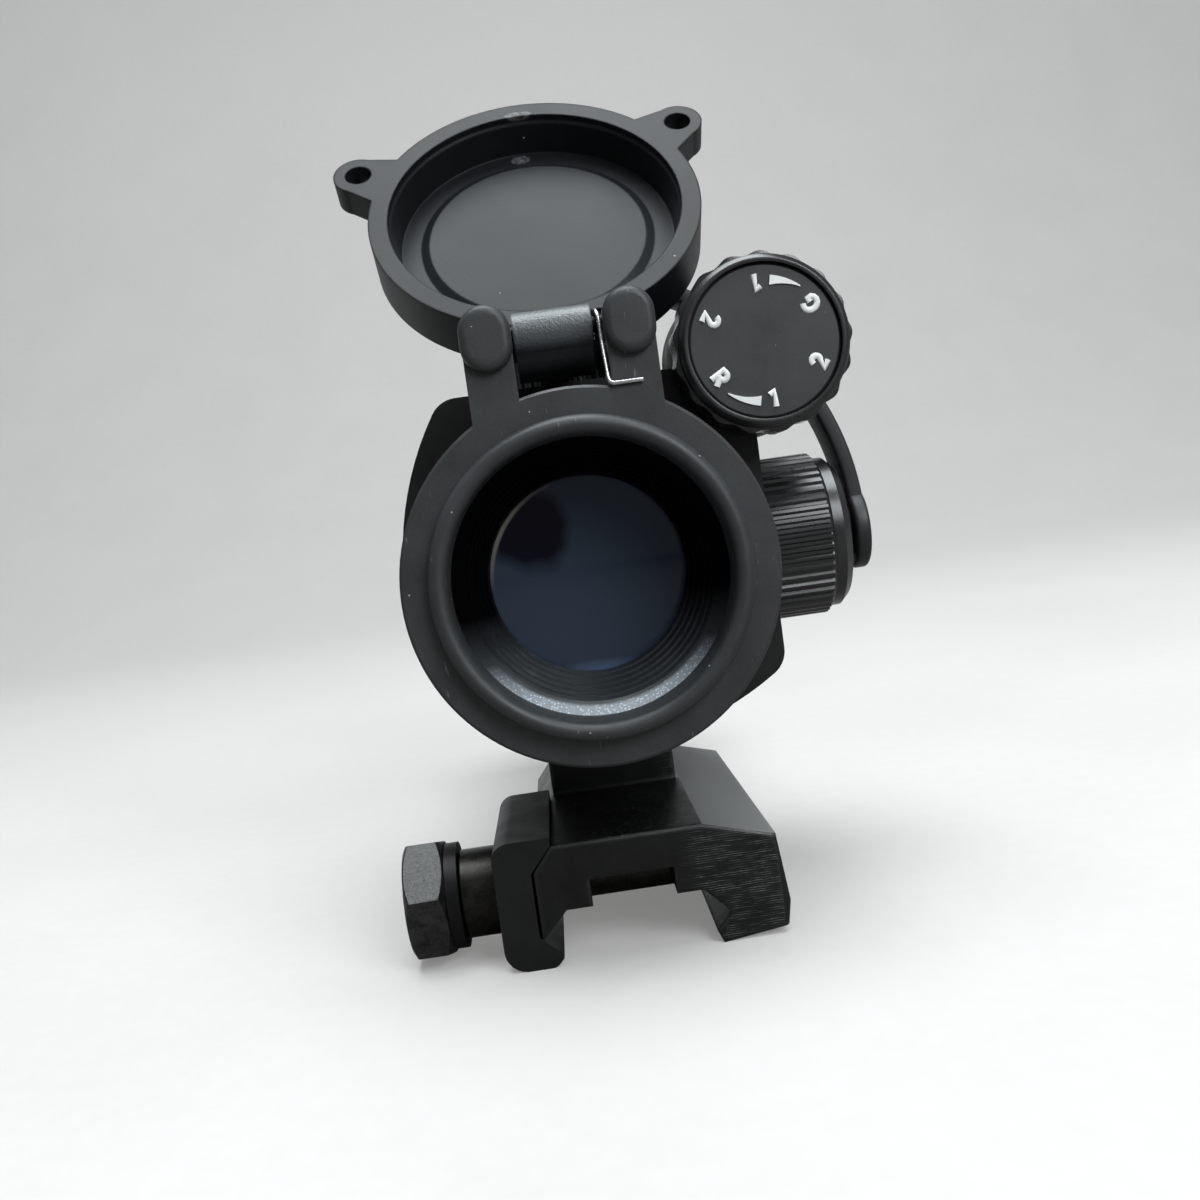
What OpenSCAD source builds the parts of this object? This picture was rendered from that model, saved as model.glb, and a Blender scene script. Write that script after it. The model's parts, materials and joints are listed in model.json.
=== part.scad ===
// Tube red dot sight with flip-up lens covers, held in a ring mount for an accessory rail.
// Millimetres. X is right as the user sees it, Y points at the target, Z is up.
// The origin is the middle of the rail seat, straight below the tube axis.

/* [Sight tube] */
// Height of the tube axis above the rail seat
axis_h = 37; // [36:0.5:42]
// Outer radius of the eyepiece and of the front bell
end_r = 17.6; // [17.4:0.1:17.9]
// Outer radius of the slim tube
tube_r = 15; // [14.6:0.1:15.4]
// Wall of the tube
tube_wall = 2; // [1.6:0.1:2.2]
// Rear end of the eyepiece
eyepiece_y = -27; // [-29:0.5:-26]
// Length of the tube from the eyepiece to the front of the bell
tube_len = 112; // [105:1:130]
// Length of the front bell
bell_len = 28; // [26:1:34]
// Length of the cone behind the bell
cone_len = 6; // [4:0.5:9]

/* [Saddle and turrets] */
// Rear face of the saddle
saddle_y = -11.3; // [-12:0.1:-10.5]
// Length of the saddle
saddle_len = 26.3; // [26:0.1:27]
// Distance from the tube axis to the turret faces
saddle_seat = 22.4; // [22:0.1:23]
// Radius of the round side of the saddle
saddle_round = 22.1; // [21.5:0.1:22.2]
// Radius of the bulging sides of the saddle
saddle_side_r = 38; // [36:0.5:42]
// Distance of both turret axes from the origin along the tube
turret_y = 5; // [4.8:0.1:5.2]
// Radius over the ridges of a turret cap
cap_r = 10.7; // [10.2:0.1:10.8]
// Height of a turret cap
cap_h = 11.4; // [10.6:0.1:11.5]
// Step from the ridges of a turret cap in to its smooth end
cap_step = 0.8; // [0.6:0.1:1.2]
// Wall of a turret cap
cap_wall = 2.2; // [1.8:0.1:2.6]
// Ridges round a turret cap
ridge_count = 52; // [36:1:60]
// Height of a ridge
ridge_h = 0.35; // [0.2:0.05:0.5]
// Radius of an adjuster's shank
adjuster_r = 2; // [1.6:0.1:2.4]
// Width of the strap between the caps
strap_w = 6.6; // [5:0.2:7]
// Thickness of the strap
strap_t = 2; // [1.8:0.1:2.4]
// Space between a cap's end and the strap
strap_lift = 1.6; // [1:0.1:2]
// Radius of a strap eyelet
eyelet_r = 5.4; // [4.6:0.1:6]

/* [Brightness knob and battery] */
// Knob axis to the right of the tube axis, and as far above it
knob_off = 23; // [22.6:0.1:24]
// Radius over the knob's lobes
knob_r = 10.2; // [9.4:0.1:10.4]
// Rear face of the knob
knob_y = -20.9; // [-22:0.1:-20.5]
// Length of the knob
knob_len = 6.6; // [6:0.1:7.2]
// Lobes round the knob
lobe_count = 17; // [12:1:22]
// Radius of the dial plate
dial_r = 8.6; // [7.5:0.1:8.8]
// Radius of the switch housing
housing_r = 9.7; // [9.6:0.1:9.9]
// Front end of the switch housing
housing_end_y = -2.9; // [-3.2:0.1:-2.7]
// Radius of the battery
cell_r = 8; // [7.8:0.1:8.1]
// Thickness of the battery
cell_h = 3.2; // [2:0.1:3.4]

/* [Lenses] */
// Clear radius at the rear lens
aperture_r = 11.2; // [11:0.1:11.8]
// Thickness of the rear lens at its edge
rear_lens_t = 2.4; // [2:0.1:3]
// Space between the tube's bore and the inner tube
inner_space = 1.6; // [1.4:0.1:2]
// Wall of the inner tube
inner_wall = 1.2; // [1:0.1:1.5]
// Thickness of the front lens at its edge
front_lens_t = 3; // [2:0.1:4]

/* [Lens covers] */
// Outer radius of a cover ring
ring_r = 20; // [19.6:0.1:20.2]
// Depth of a cover ring over the tube
ring_depth = 9; // [8:0.5:10]
// Thickness of the stop behind the bezel
ring_stop = 3; // [2.5:0.1:3.5]
// Outer radius of the raised lip
lip_r = 16.9; // [16.6:0.1:17.2]
// Height of the raised lip
lip_h = 2.4; // [1.5:0.1:2.8]
// Radius of the hole in a cover ring
hole_r = 14.9; // [14:0.1:15.1]
// Height of the hinge axis above the tube axis
hinge_h = 26.6; // [26.2:0.1:27.2]
// Distance of the hinge axis behind the bezel face
hinge_back = 4.8; // [4.4:0.1:5.2]
// Half of the gap between the hinge arms
arm_gap = 4.9; // [4.7:0.1:5.2]
// Width of a hinge arm
arm_w = 5.1; // [4.8:0.1:5.3]
// Radius of the hinge pin
pin_r = 0.9; // [0.7:0.05:1]
// Radius of the hinge barrel
barrel_r = 2.2; // [2:0.1:2.3]
// Outer radius of a flip cover
cover_r = 20.4; // [20.2:0.1:20.6]
// Wall of a flip cover
cover_wall = 2.4; // [2:0.1:2.6]
// Height of a flip cover
cover_h = 6.7; // [6:0.1:6.9]
// Thickness of a flip cover's floor
cover_floor = 1.5; // [1:0.1:1.8]
// Angle of a cover from closed to fully open
open_angle = 217; // [205:1:217]
// Radius of the end of a cover's ear
ear_r = 3.15; // [2.8:0.05:3.4]
// Radius of the hole in an ear
ear_hole_r = 1.65; // [1.2:0.05:1.8]
// Thickness of an ear
ear_t = 3.6; // [2.5:0.1:4.2]
// Turn of the two ears about the middle of the cover
ear_turn = -3.5; // [-5:0.5:5]

/* [Rail mount] */
// Width of the rail over its edges
rail_w = 21.2; // [20.6:0.1:21.6]
// Width of the rail's flat top
rail_top_w = 15.6; // [15:0.1:16]
// Rear face of the rail base
base_y = -22.3; // [-24:0.1:-21]
// Length of the rail base
base_len = 49; // [48:0.5:52]
// Thickness of the rail base above the seat
base_t = 7.5; // [7:0.1:8.4]
// Half width of the base on its hook side
hook_side = 17.6; // [17:0.1:18]
// Half width of the base on its jaw side
jaw_side = 10.9; // [10.8:0.05:11.1]
// Half width of the groove along the seat
groove_half = 4.8; // [4:0.1:5.4]
// Depth of the groove along the seat
groove_d = 3.1; // [2.8:0.1:3.4]
// Rear face of the riser
riser_y = 2.1; // [0:0.1:4]
// Width of the riser
riser_w = 16.4; // [14:0.2:18]
// Outer radius of the mount ring
mount_ring_r = 19; // [18.5:0.1:20]
// Length of the mount ring along the tube
mount_ring_len = 10.9; // [10.4:0.1:11]
// Half width over the clamping lugs of the mount ring
lug_half = 22; // [21.6:0.1:23]
// Height of one clamping lug
lug_h = 4.6; // [4:0.1:6]
// Radius of a ring screw
ring_screw_r = 1.4; // [1.2:0.1:1.5]

/* [Rail clamp] */
// Thickness of the clamp jaw
jaw_t = 4.2; // [3.8:0.1:5]
// Length of the clamp jaw
jaw_len = 24; // [22:0.5:26]
// Rise of the jaw above the base
jaw_rise = 1; // [0.4:0.1:1.6]
// Place of the clamp bolt along the rail
bolt_y = -13; // [-14:0.1:-11]
// Radius of the clamp bolt
bolt_r = 2.5; // [2.2:0.1:2.55]
// Radius of the collar outside the jaw
collar_r = 5.2; // [5:0.1:6]
// Length of the collar
collar_len = 4.5; // [4:0.1:6]
// Radius of the washer under the nut
washer_r = 6.2; // [5.6:0.1:6.4]
// Thickness of the washer
washer_t = 1.5; // [0.8:0.1:1.6]
// Width of the nut across its flats
nut_af = 13; // [12.6:0.1:13.2]
// Thickness of the nut
nut_t = 4.8; // [4.4:0.1:6]
// Rest turn of the nut, from one corner level to the rear
nut_turn = 14.5; // [0:0.5:30]

/* [Fits] */
// Radial clearance of a part that turns or slides in its seat
run_gap = 0.05; // [0.02:0.01:0.08]
// Radial clearance of a screw in a plain hole
bolt_gap = 0.2; // [0.15:0.01:0.3]
// Space between faces that pass each other
face_gap = 0.3; // [0.25:0.01:0.4]

/* [Hidden] */
$fn = 96;

// Finishes as they look on the object
satin_black = [0.06, 0.06, 0.065];
dark_rubber = [0.17, 0.17, 0.18];
gloss_black = [0.03, 0.03, 0.03];
steel = [0.72, 0.72, 0.72];
worn_steel = [0.32, 0.31, 0.30];
glass_blue = [0.30, 0.36, 0.48];
brass = [0.75, 0.60, 0.30];
board_green = [0.10, 0.30, 0.18];

// A cut runs this far past the face that it opens
past = 1;

// Places along the tube
bell_y = eyepiece_y + tube_len;
cone_y = bell_y - bell_len - cone_len;
saddle_end_y = saddle_y + saddle_len;
rear_face_y = eyepiece_y - ring_stop;
front_face_y = bell_y + ring_stop;

// Bores of the tube
bore_r = tube_r - tube_wall;
inner_r = bore_r - inner_space;
bell_bore_r = end_r - tube_wall;
rear_bore_r = end_r - tube_wall + 0.2;
lens_seat_y = -14.2;

// Saddle outline: the bulging sides meet the round side a little above its middle
saddle_shift = saddle_side_r - saddle_round + 0.4;
saddle_corner_r = 27;
saddle_fillet = 3.5;

// Turrets, measured outwards from the tube axis
thread_gap = 0.15;
post_r = cap_r - cap_wall - thread_gap;
post_h = 5.6;
cap_start = saddle_seat + face_gap;
cap_end = cap_start + cap_h;
ridge_len = 0.8 * cap_h;
ridge_bevel = 0.5;
flange_r = cap_r - cap_step;
cap_bevel = 1;
seal_wire_r = 0.55;
adjuster_head_r = 4.4;
adjuster_head_t = 2.2;
adjuster_start = inner_r + face_gap;
adjuster_head_z = saddle_seat + 0.8;
slot_w = 1.2;
slot_d = 0.8;

// Strap: two straight ends joined by one quarter turn
strap_low = cap_end + strap_lift;
strap_mid = strap_low + strap_t / 2;
strap_bend_c = 1.7;
strap_bend_r = strap_mid - strap_bend_c;
strap_screw_r = 1.5;
strap_screw_deep = 2;
strap_shoulder_r = 2.2;
strap_head_r = 3.4;
strap_head_t = 1;
strap_floor = strap_t - strap_head_t;
spacer_r = 3.8;

// Knob and switch housing
knob_end_y = knob_y + knob_len;
housing_y = knob_end_y + face_gap;
housing_wall_y = housing_y + 2.7;
housing_bore_r = cell_r + 0.4;
knob_rim_r = knob_r - 0.6;
knob_rim_len = 1.6;
knob_edge = 0.5;
lobe_h = 0.45;
dial_t = 1.2;
dial_sink = 0.4;
knob_shaft_r = 2;
detent_at = 6.3;
detent_ball_r = 0.9;
detent_pocket_r = detent_ball_r + run_gap;
detent_pocket_d = 2.3;
detent_wire_r = 0.11;
board_t = 0.9;
board_y = housing_wall_y + 0.1;
contact_space = 1;
cell_y = board_y + board_t + contact_space;
battery_wire_r = 0.2;
battery_turns = 3;
battery_cap_t = 2.4;
cap_room = 0.5;
battery_seal_wire_r = 0.4;

// Lenses and inner tube
lens_edge_gap = 0.1;
lens_bulge = 0.9;
lens_ring_bevel = 1.5;
inner_start_y = -8;
carrier_r = bell_bore_r - face_gap;
carrier_back = 16;
carrier_y = bell_y - carrier_back;
carrier_len = 12;
carrier_wall = 1.3;
carrier_lens_r = carrier_r - carrier_wall;
lens_step = 5;
front_lens_y = carrier_y + lens_step;

// Lens covers, in their own frame: x right, y up, z out of the tube
socket_r = end_r + run_gap;
arm_mid = arm_gap + arm_w / 2;
arm_depth = 7.6;
arm_top_y = hinge_h - 0.1;
boss_r = arm_w / 2 + 0.15;
boss_rise = 1.4;
boss_edge = 0.9;
boss_root = 0.6;
boss_len = 1.5;
boss_top_y = arm_top_y;
cover_start = face_gap;
cover_top = cover_start + cover_h;
cover_draft = 0.8;
cover_edge = 0.7;
ear_x = 20.65;
ear_y = 11.5;
ear_root = 1.5;
barrel_start = -arm_gap + face_gap;
barrel_end = arm_gap - 1.1;
disc_r = 13.6;
disc_slope = 1.1;
disc_rise = 0.6;

// Hinge spring: wire, coil and legs
hinge_wire_r = 0.24;
hinge_coil_r = 1.4;
hinge_turns = 2;
coil_room_r = hinge_coil_r + hinge_wire_r + 0.2;
coil_room_start = 1.4;
coil_start = coil_room_start + 0.6;
coil_end = arm_gap - hinge_wire_r - 0.1;
tab_angle = 124;
leg_in = 1.2;
leg_gap = 0.06;
leg_room = 0.6;
leg_drop = 7;
leg_foot = 3.5;

// Rail base: the seat is the plane z = 0
rail_gap = 0.15;
rail_half = rail_w / 2 + rail_gap;
rail_top_half = rail_top_w / 2;
rail_slope = rail_half - rail_top_half;
hook_reach = 2;
hook_low = rail_slope + hook_reach;
base_low = hook_low + 1.45;
base_corner = 1;
base_end_y = base_y + base_len;
ring_space = 0.8;
mount_ring_y = saddle_end_y + ring_space;
mount_ring_end_y = mount_ring_y + mount_ring_len;
low_riser_top = axis_h - saddle_round - 0.5;
ring_split = 0.6;
ring_bore_r = tube_r + run_gap;
lug_screw_x = (mount_ring_r + lug_half) / 2 - 0.9;
ring_screw_head_r = 2.3;
ring_screw_head_h = 2.2;
ring_screw_deep = 4;

// Clamp, measured outwards from the rail on the jaw side
jaw_inner = jaw_side + 0.35;
jaw_outer = jaw_inner + jaw_t;
base_chamfer = 2.3;
jaw_crown_round = 2;
jaw_heel_round = 2.6;
jaw_sole_round = 1.2;
jaw_toe_round = 0.5;
washer_out = jaw_outer + collar_len;
nut_out = washer_out + washer_t;
nut_end = nut_out + nut_t;
bolt_inside = hook_side - 3;
// The nut's lowest corner is level with the base's underside, so the sight stands level
nut_corner_r = nut_af / 2 / cos(30);
bolt_rise = nut_corner_r * sin(120 - nut_turn) - base_low;
bolt_tip = 0.4;

// Ring of points on an arc, from one angle to the other
function arc(x, y, r, from, to, steps) = [
  for (i = [0:steps])
    let (a = from + (to - from) * i / steps)
      [x + r * cos(a), y + r * sin(a)]
];

// Points that round corner b, between a and c, by a radius
function corner(a, b, c, r, steps) =
  let (
    u = (a - b) / norm(a - b),
    v = (c - b) / norm(c - b),
    half = acos(u * v) / 2,
    middle = b + (u + v) / norm(u + v) * r / sin(half),
    first = b + u * r / tan(half) - middle,
    last = b + v * r / tan(half) - middle
  )
  [
    for (i = [0:steps])
      let (p = first + (last - first) * i / steps)
        middle + p / norm(p) * r
  ];

// A wave with a number of lobes round a circle
function lobed(r, height, count, steps) = [
  for (i = [0:count * steps - 1])
    let (a = 360 * i / (count * steps), w = r - height * (1 - cos(a * count)) / 2)
      [w * cos(a), w * sin(a)]
];

// Straight ridges round a circle, each with a flat top and a flat valley
function ridged(r, height, count) = [
  for (i = [0:count - 1], k = [0:3])
    let (a = 360 * (i + [0, 0.3, 0.5, 0.8][k]) / count, w = r - [0, 0, height, height][k])
      [w * cos(a), w * sin(a)]
];

// Wire swept along points, six-sided, with the frame carried along so that it doesn't twist
wire_sides = 6;
function unit(v) = v / norm(v);
function heading(p, i) = unit(p[min(i + 1, len(p) - 1)] - p[max(i - 1, 0)]);
function square_to(v, t) = unit(v - (v * t) * t);
function carried(p) = [
  for (i = 0, v = square_to([0.31, 0.47, 0.83], heading(p, 0));
    i < len(p);
    i = i + 1, v = i < len(p) ? square_to(v, heading(p, i)) : v) v
];
function wire_points(p, r) =
  let (side = carried(p))
    [for (i = [0:len(p) - 1], k = [0:wire_sides - 1])
      let (a = 360 * k / wire_sides, t = heading(p, i))
        p[i] + r * (cos(a) * side[i] + sin(a) * cross(t, side[i]))];
function wire_faces(n) = concat(
  [for (k = [1:wire_sides - 2]) [0, k + 1, k]],
  [for (i = [0:n - 2], k = [0:wire_sides - 1], h = [0, 1])
    let (a = i * wire_sides + k, b = i * wire_sides + (k + 1) % wire_sides)
      h == 0 ? [a, b, b + wire_sides] : [a, b + wire_sides, a + wire_sides]],
  [for (k = [1:wire_sides - 2])
    let (e = (n - 1) * wire_sides)
      [e, e + k, e + k + 1]]
);
module wire(p, r) polyhedron(wire_points(p, r), [for (f = wire_faces(len(p))) [f[0], f[2], f[1]]]);

// Least gap between stretches of a wire that are at least half a turn apart
rings_per_turn = 8;
function least_gap(p, r) = min([
  for (i = [0:len(p) - 1], j = [0:len(p) - 1])
    if (j - i >= rings_per_turn / 2) norm(p[i] - p[j]) - 2 * r
]);

// Places and directions
module on_axis() translate([0, 0, axis_h]) children();
module turned(profile) on_axis() rotate([-90, 0, 0]) rotate_extrude() polygon(profile);
module slab(y0, y1) translate([0, y1, 0]) rotate([90, 0, 0]) linear_extrude(y1 - y0) children();
module windage_way() translate([0, turret_y, axis_h]) rotate([0, 90, 0]) children();
module elevation_way() translate([0, turret_y, axis_h]) children();
module knob_way() translate([knob_off, 0, axis_h + knob_off]) rotate([-90, 0, 0]) children();
module rear_cover_place() translate([0, rear_face_y, axis_h]) rotate([90, 0, 0]) children();
module front_cover_place()
  translate([0, front_face_y, axis_h]) rotate([0, 0, 180]) rotate([90, 0, 0]) children();
module clamp_way() translate([0, bolt_y, bolt_rise]) rotate([0, -90, 0]) children();
module hinge_line() translate([0, hinge_h, -hinge_back]) children();
module cylinder_x(r, x0, x1) translate([x0, 0, 0]) rotate([0, 90, 0]) cylinder(r = r, h = x1 - x0);
module tube_ring(outer, inner, z0, z1) {
  translate([0, 0, z0])
    difference() {
      cylinder(r = outer, h = z1 - z0);
      translate([0, 0, -past]) cylinder(r = inner, h = z1 - z0 + 2 * past);
    }
}

// Sight tube
module saddle_corner() {
  reach = saddle_side_r - saddle_fillet;
  mid_y = saddle_seat - saddle_fillet;
  mid_x = saddle_shift - sqrt(reach * reach - mid_y * mid_y);
  side = (saddle_side_r + past) / reach;
  side_x = saddle_shift + (mid_x - saddle_shift) * side;
  difference() {
    polygon([
      [mid_x, mid_y], [mid_x, saddle_seat + past], [side_x, saddle_seat + past], [side_x, mid_y * side]
    ]);
    translate([mid_x, mid_y]) circle(r = saddle_fillet);
  }
}

module saddle_outline() {
  circle(r = saddle_round);
  difference() {
    intersection() {
      translate([saddle_shift, 0]) circle(r = saddle_side_r);
      translate([0, saddle_shift]) circle(r = saddle_side_r);
      circle(r = saddle_corner_r);
      square(2 * saddle_seat, center = true);
    }
    translate([-saddle_seat, -saddle_seat]) square(saddle_seat);
    saddle_corner();
    mirror([1, -1]) saddle_corner();
  }
}

module turret_post() translate([0, 0, saddle_seat - past]) cylinder(r = post_r, h = post_h + past);

module turret_hole() {
  cylinder(r = adjuster_r + run_gap, h = saddle_seat + post_h);
  translate([0, 0, adjuster_head_z - face_gap])
    cylinder(r = adjuster_head_r + bolt_gap, h = post_h + past);
}

module housing_hollow() {
  translate([0, 0, housing_wall_y])
    cylinder(r = housing_bore_r, h = housing_end_y - housing_wall_y + past);
  translate([0, 0, housing_y - past])
    cylinder(r = knob_shaft_r + run_gap, h = housing_wall_y - housing_y + 2 * past);
  translate([detent_at, 0, housing_y - past])
    cylinder(r = detent_pocket_r, h = detent_pocket_d + past);
  translate([0, 0, housing_end_y])
    cylinder(r = housing_r + cap_room, h = saddle_end_y - housing_end_y + past);
}

module tube_body() {
  color(satin_black)
    difference() {
      union() {
        turned([
          [0, eyepiece_y], [end_r, eyepiece_y], [end_r, saddle_y + past], [tube_r, saddle_y + past],
          [tube_r, cone_y], [end_r, cone_y + cone_len], [end_r, bell_y], [0, bell_y]
        ]);
        slab(saddle_y, saddle_end_y) translate([0, axis_h]) saddle_outline();
        windage_way() turret_post();
        elevation_way() turret_post();
        knob_way() translate([0, 0, housing_y]) cylinder(r = housing_r, h = housing_end_y - housing_y);
      }
      turned([
        [0, eyepiece_y - past], [rear_bore_r, eyepiece_y - past], [rear_bore_r, lens_seat_y],
        [bore_r, lens_seat_y], [bore_r, cone_y], [bell_bore_r, cone_y + cone_len],
        [bell_bore_r, bell_y + past], [0, bell_y + past]
      ]);
      windage_way() turret_hole();
      elevation_way() turret_hole();
      knob_way() housing_hollow();
    }
}

// Lenses, each with one bulging face
module lens(r, y, edge, bulge) {
  sphere_r = (r * r + bulge * bulge) / (2 * bulge);
  half_angle = asin(r / sphere_r);
  face = arc(0, y - bulge + sphere_r, sphere_r, -90, half_angle - 90, 8);
  turned(concat(face, [[r, y + edge], [0, y + edge]]));
}

module rear_lens() {
  color(glass_blue)
    lens(rear_bore_r - lens_edge_gap, lens_seat_y - rear_lens_t, rear_lens_t - run_gap, lens_bulge);
}

module rear_lens_ring() {
  ring_end = lens_seat_y - rear_lens_t - run_gap;
  ring_start = eyepiece_y + 0.5;
  bevel_r = rear_bore_r - 0.4;
  steps = 6;
  ridge = (bevel_r - lens_ring_bevel - aperture_r) / steps;
  pitch = (ring_end - ring_start - lens_ring_bevel - past) / steps;
  undercut = 0.25;
  staircase = [
    for (i = [0:steps - 1], k = [0, 1])
      [bevel_r - lens_ring_bevel - (i + k) * ridge - undercut * (1 - k),
        ring_start + lens_ring_bevel + (i + k) * pitch]
  ];
  lens_top = ring_end - lens_bulge - run_gap;
  color(satin_black)
    turned(concat(
      [[rear_bore_r - run_gap, ring_end], [rear_bore_r - run_gap, ring_start], [bevel_r, ring_start]],
      staircase,
      [[aperture_r, lens_top], [aperture_r + past, lens_top]]
    ));
}

module inner_tube() {
  inside = inner_r - inner_wall;
  color(satin_black)
    turned([
      [inside, inner_start_y], [inner_r, inner_start_y], [inner_r, carrier_y - cone_len],
      [carrier_r, carrier_y], [carrier_r, carrier_y + carrier_len],
      [carrier_lens_r + run_gap, carrier_y + carrier_len],
      [carrier_lens_r + run_gap, front_lens_y], [inside, front_lens_y]
    ]);
}

module front_lens() {
  color(glass_blue) lens(carrier_lens_r, front_lens_y + run_gap, front_lens_t, -lens_bulge);
}

module front_lens_ring() {
  start = front_lens_y + front_lens_t + 2 * run_gap;
  end = carrier_y + carrier_len - 0.3;
  wall = 1.8;
  color(satin_black)
    turned([
      [carrier_lens_r - wall, start], [carrier_lens_r, start],
      [carrier_lens_r, end], [carrier_lens_r - wall / 2, end]
    ]);
}

module led_emitter() {
  half = 1.5;
  length = 4;
  body_in = 3.4;
  tip_in = 2;
  tip_r = 0.9;
  tip_len = 1.2;
  seat = inner_r - inner_wall - run_gap;
  color(brass)
    on_axis()
      intersection() {
        rotate([-90, 0, 0]) cylinder(r = seat, h = length + past);
        union() {
          translate([seat - body_in, 0, -half]) cube([body_in + past, length - tip_len, 2 * half]);
          translate([seat - tip_in, 0, 0]) rotate([-90, 0, 0]) cylinder(r = tip_r, h = length);
        }
      }
}

module tube_leaf_spring() {
  leaf_t = 0.5;
  leaf_len = 14;
  spread = 44;
  middle = 225;
  high = bore_r - run_gap;
  low = inner_r + run_gap;
  color(steel)
    translate([0, turret_y + leaf_len / 2, axis_h])
      rotate([90, 0, 0])
        rotate([0, 0, middle - spread / 2])
          rotate_extrude(angle = spread)
            polygon([
              [high - leaf_t, 0], [high, 0], [low + leaf_t, leaf_len / 2], [high, leaf_len],
              [high - leaf_t, leaf_len], [low, leaf_len / 2]
            ]);
}

// Turrets, drawn outwards from the tube axis
module adjuster() {
  difference() {
    union() {
      translate([0, 0, adjuster_start])
        cylinder(r = adjuster_r, h = adjuster_head_z - adjuster_start + past);
      translate([0, 0, adjuster_head_z]) cylinder(r = adjuster_head_r, h = adjuster_head_t);
    }
    translate([-adjuster_head_r - past, -slot_w / 2, adjuster_head_z + adjuster_head_t - slot_d])
      cube([2 * (adjuster_head_r + past), slot_w, slot_d + past]);
  }
}

module turret_cap() {
  seal_room = 2 * seal_wire_r + 0.25;
  difference() {
    union() {
      translate([0, 0, cap_start])
        linear_extrude(ridge_len - ridge_bevel) polygon(ridged(cap_r, ridge_h, ridge_count));
      translate([0, 0, cap_start])
        rotate_extrude()
          polygon([
            [0, 0], [cap_r - ridge_h, 0], [cap_r - ridge_h, ridge_len - ridge_bevel],
            [flange_r, ridge_len], [flange_r, cap_h - cap_bevel], [flange_r - cap_bevel, cap_h], [0, cap_h]
          ]);
    }
    translate([0, 0, cap_start - past]) cylinder(r = post_r + thread_gap, h = post_h + past + 0.3);
    translate([0, 0, cap_start - past]) cylinder(r = post_r + seal_room, h = seal_room + past);
    translate([0, 0, cap_end - strap_screw_deep])
      cylinder(r = strap_screw_r + run_gap, h = strap_screw_deep + past);
  }
}

module turret_seal() {
  translate([0, 0, saddle_seat + seal_wire_r + run_gap])
    rotate_extrude() translate([post_r + seal_wire_r + run_gap, 0]) circle(r = seal_wire_r, $fn = 24);
}

module strap_screw() {
  difference() {
    union() {
      translate([0, 0, cap_end - strap_screw_deep + run_gap])
        cylinder(r = strap_screw_r, h = strap_screw_deep);
      translate([0, 0, cap_end]) cylinder(r = spacer_r, h = strap_lift - run_gap);
      translate([0, 0, cap_end]) cylinder(r = strap_shoulder_r, h = strap_lift + strap_t);
      translate([0, 0, strap_low + strap_floor + run_gap]) cylinder(r = strap_head_r, h = strap_head_t);
    }
    translate([-strap_head_r - past, -slot_w / 2, strap_low + strap_t + run_gap - slot_d])
      cube([2 * (strap_head_r + past), slot_w, slot_d + past]);
  }
}

module windage_screw() color(brass) windage_way() adjuster();
module elevation_screw() color(brass) elevation_way() adjuster();
module windage_cap() color(satin_black) windage_way() turret_cap();
module elevation_cap() color(satin_black) elevation_way() turret_cap();
module windage_seal() color(gloss_black) windage_way() turret_seal();
module elevation_seal() color(gloss_black) elevation_way() turret_seal();
module windage_strap_screw() color(satin_black) windage_way() strap_screw();
module elevation_strap_screw() color(satin_black) elevation_way() strap_screw();

// Strap from one cap to the other, round the outside of the switch housing
module strap_outline() {
  intersection() {
    difference() {
      translate([strap_bend_c, strap_bend_c]) circle(r = strap_bend_r + strap_t / 2);
      translate([strap_bend_c, strap_bend_c]) circle(r = strap_bend_r - strap_t / 2);
    }
    translate([strap_bend_c, strap_bend_c]) square(2 * strap_bend_r);
  }
  translate([strap_mid - strap_t / 2, 0]) square([strap_t, strap_bend_c]);
  translate([0, strap_mid - strap_t / 2]) square([strap_bend_c, strap_t]);
}

module eyelet() translate([0, 0, strap_low]) cylinder(r = eyelet_r, h = strap_t);

module eyelet_hole() {
  translate([0, 0, strap_low - past]) cylinder(r = strap_shoulder_r + run_gap, h = strap_t + 2 * past);
  translate([0, 0, strap_low + strap_floor]) cylinder(r = strap_head_r + bolt_gap, h = strap_t + past);
  translate([0, 0, cap_end]) cylinder(r = spacer_r + bolt_gap, h = strap_lift);
}

module cap_strap() {
  color(dark_rubber)
    difference() {
      union() {
        slab(turret_y - strap_w / 2, turret_y + strap_w / 2) translate([0, axis_h]) strap_outline();
        windage_way() eyelet();
        elevation_way() eyelet();
      }
      windage_way() eyelet_hole();
      elevation_way() eyelet_hole();
    }
}

// Brightness knob and what is behind it
module brightness_knob() {
  lobe_y = knob_y + knob_rim_len;
  color(gloss_black)
    knob_way()
      difference() {
        union() {
          translate([0, 0, lobe_y])
            linear_extrude(knob_len - knob_rim_len) polygon(lobed(knob_r, lobe_h, lobe_count, 8));
          translate([0, 0, knob_y])
            rotate_extrude()
              polygon([
                [0, 0], [knob_rim_r - knob_edge, 0], [knob_rim_r, knob_edge],
                [knob_rim_r, knob_rim_len + past], [0, knob_rim_len + past]
              ]);
          translate([0, 0, knob_end_y - past])
            cylinder(r = knob_shaft_r, h = housing_wall_y - knob_end_y + past - run_gap);
        }
        translate([0, 0, knob_y - past]) cylinder(r = dial_r + run_gap, h = dial_t + dial_sink + past);
        translate([0, 0, knob_end_y])
          rotate_extrude() translate([detent_at, 0]) circle(r = detent_ball_r + bolt_gap, $fn = 24);
      }
}

module dial_plate() {
  edge = 0.3;
  start = knob_y + dial_sink;
  color(dark_rubber)
    knob_way()
      translate([0, 0, start])
        rotate_extrude()
          polygon([
            [0, 0], [dial_r - edge, 0], [dial_r, edge], [dial_r, dial_t - run_gap], [0, dial_t - run_gap]
          ]);
}

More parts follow.
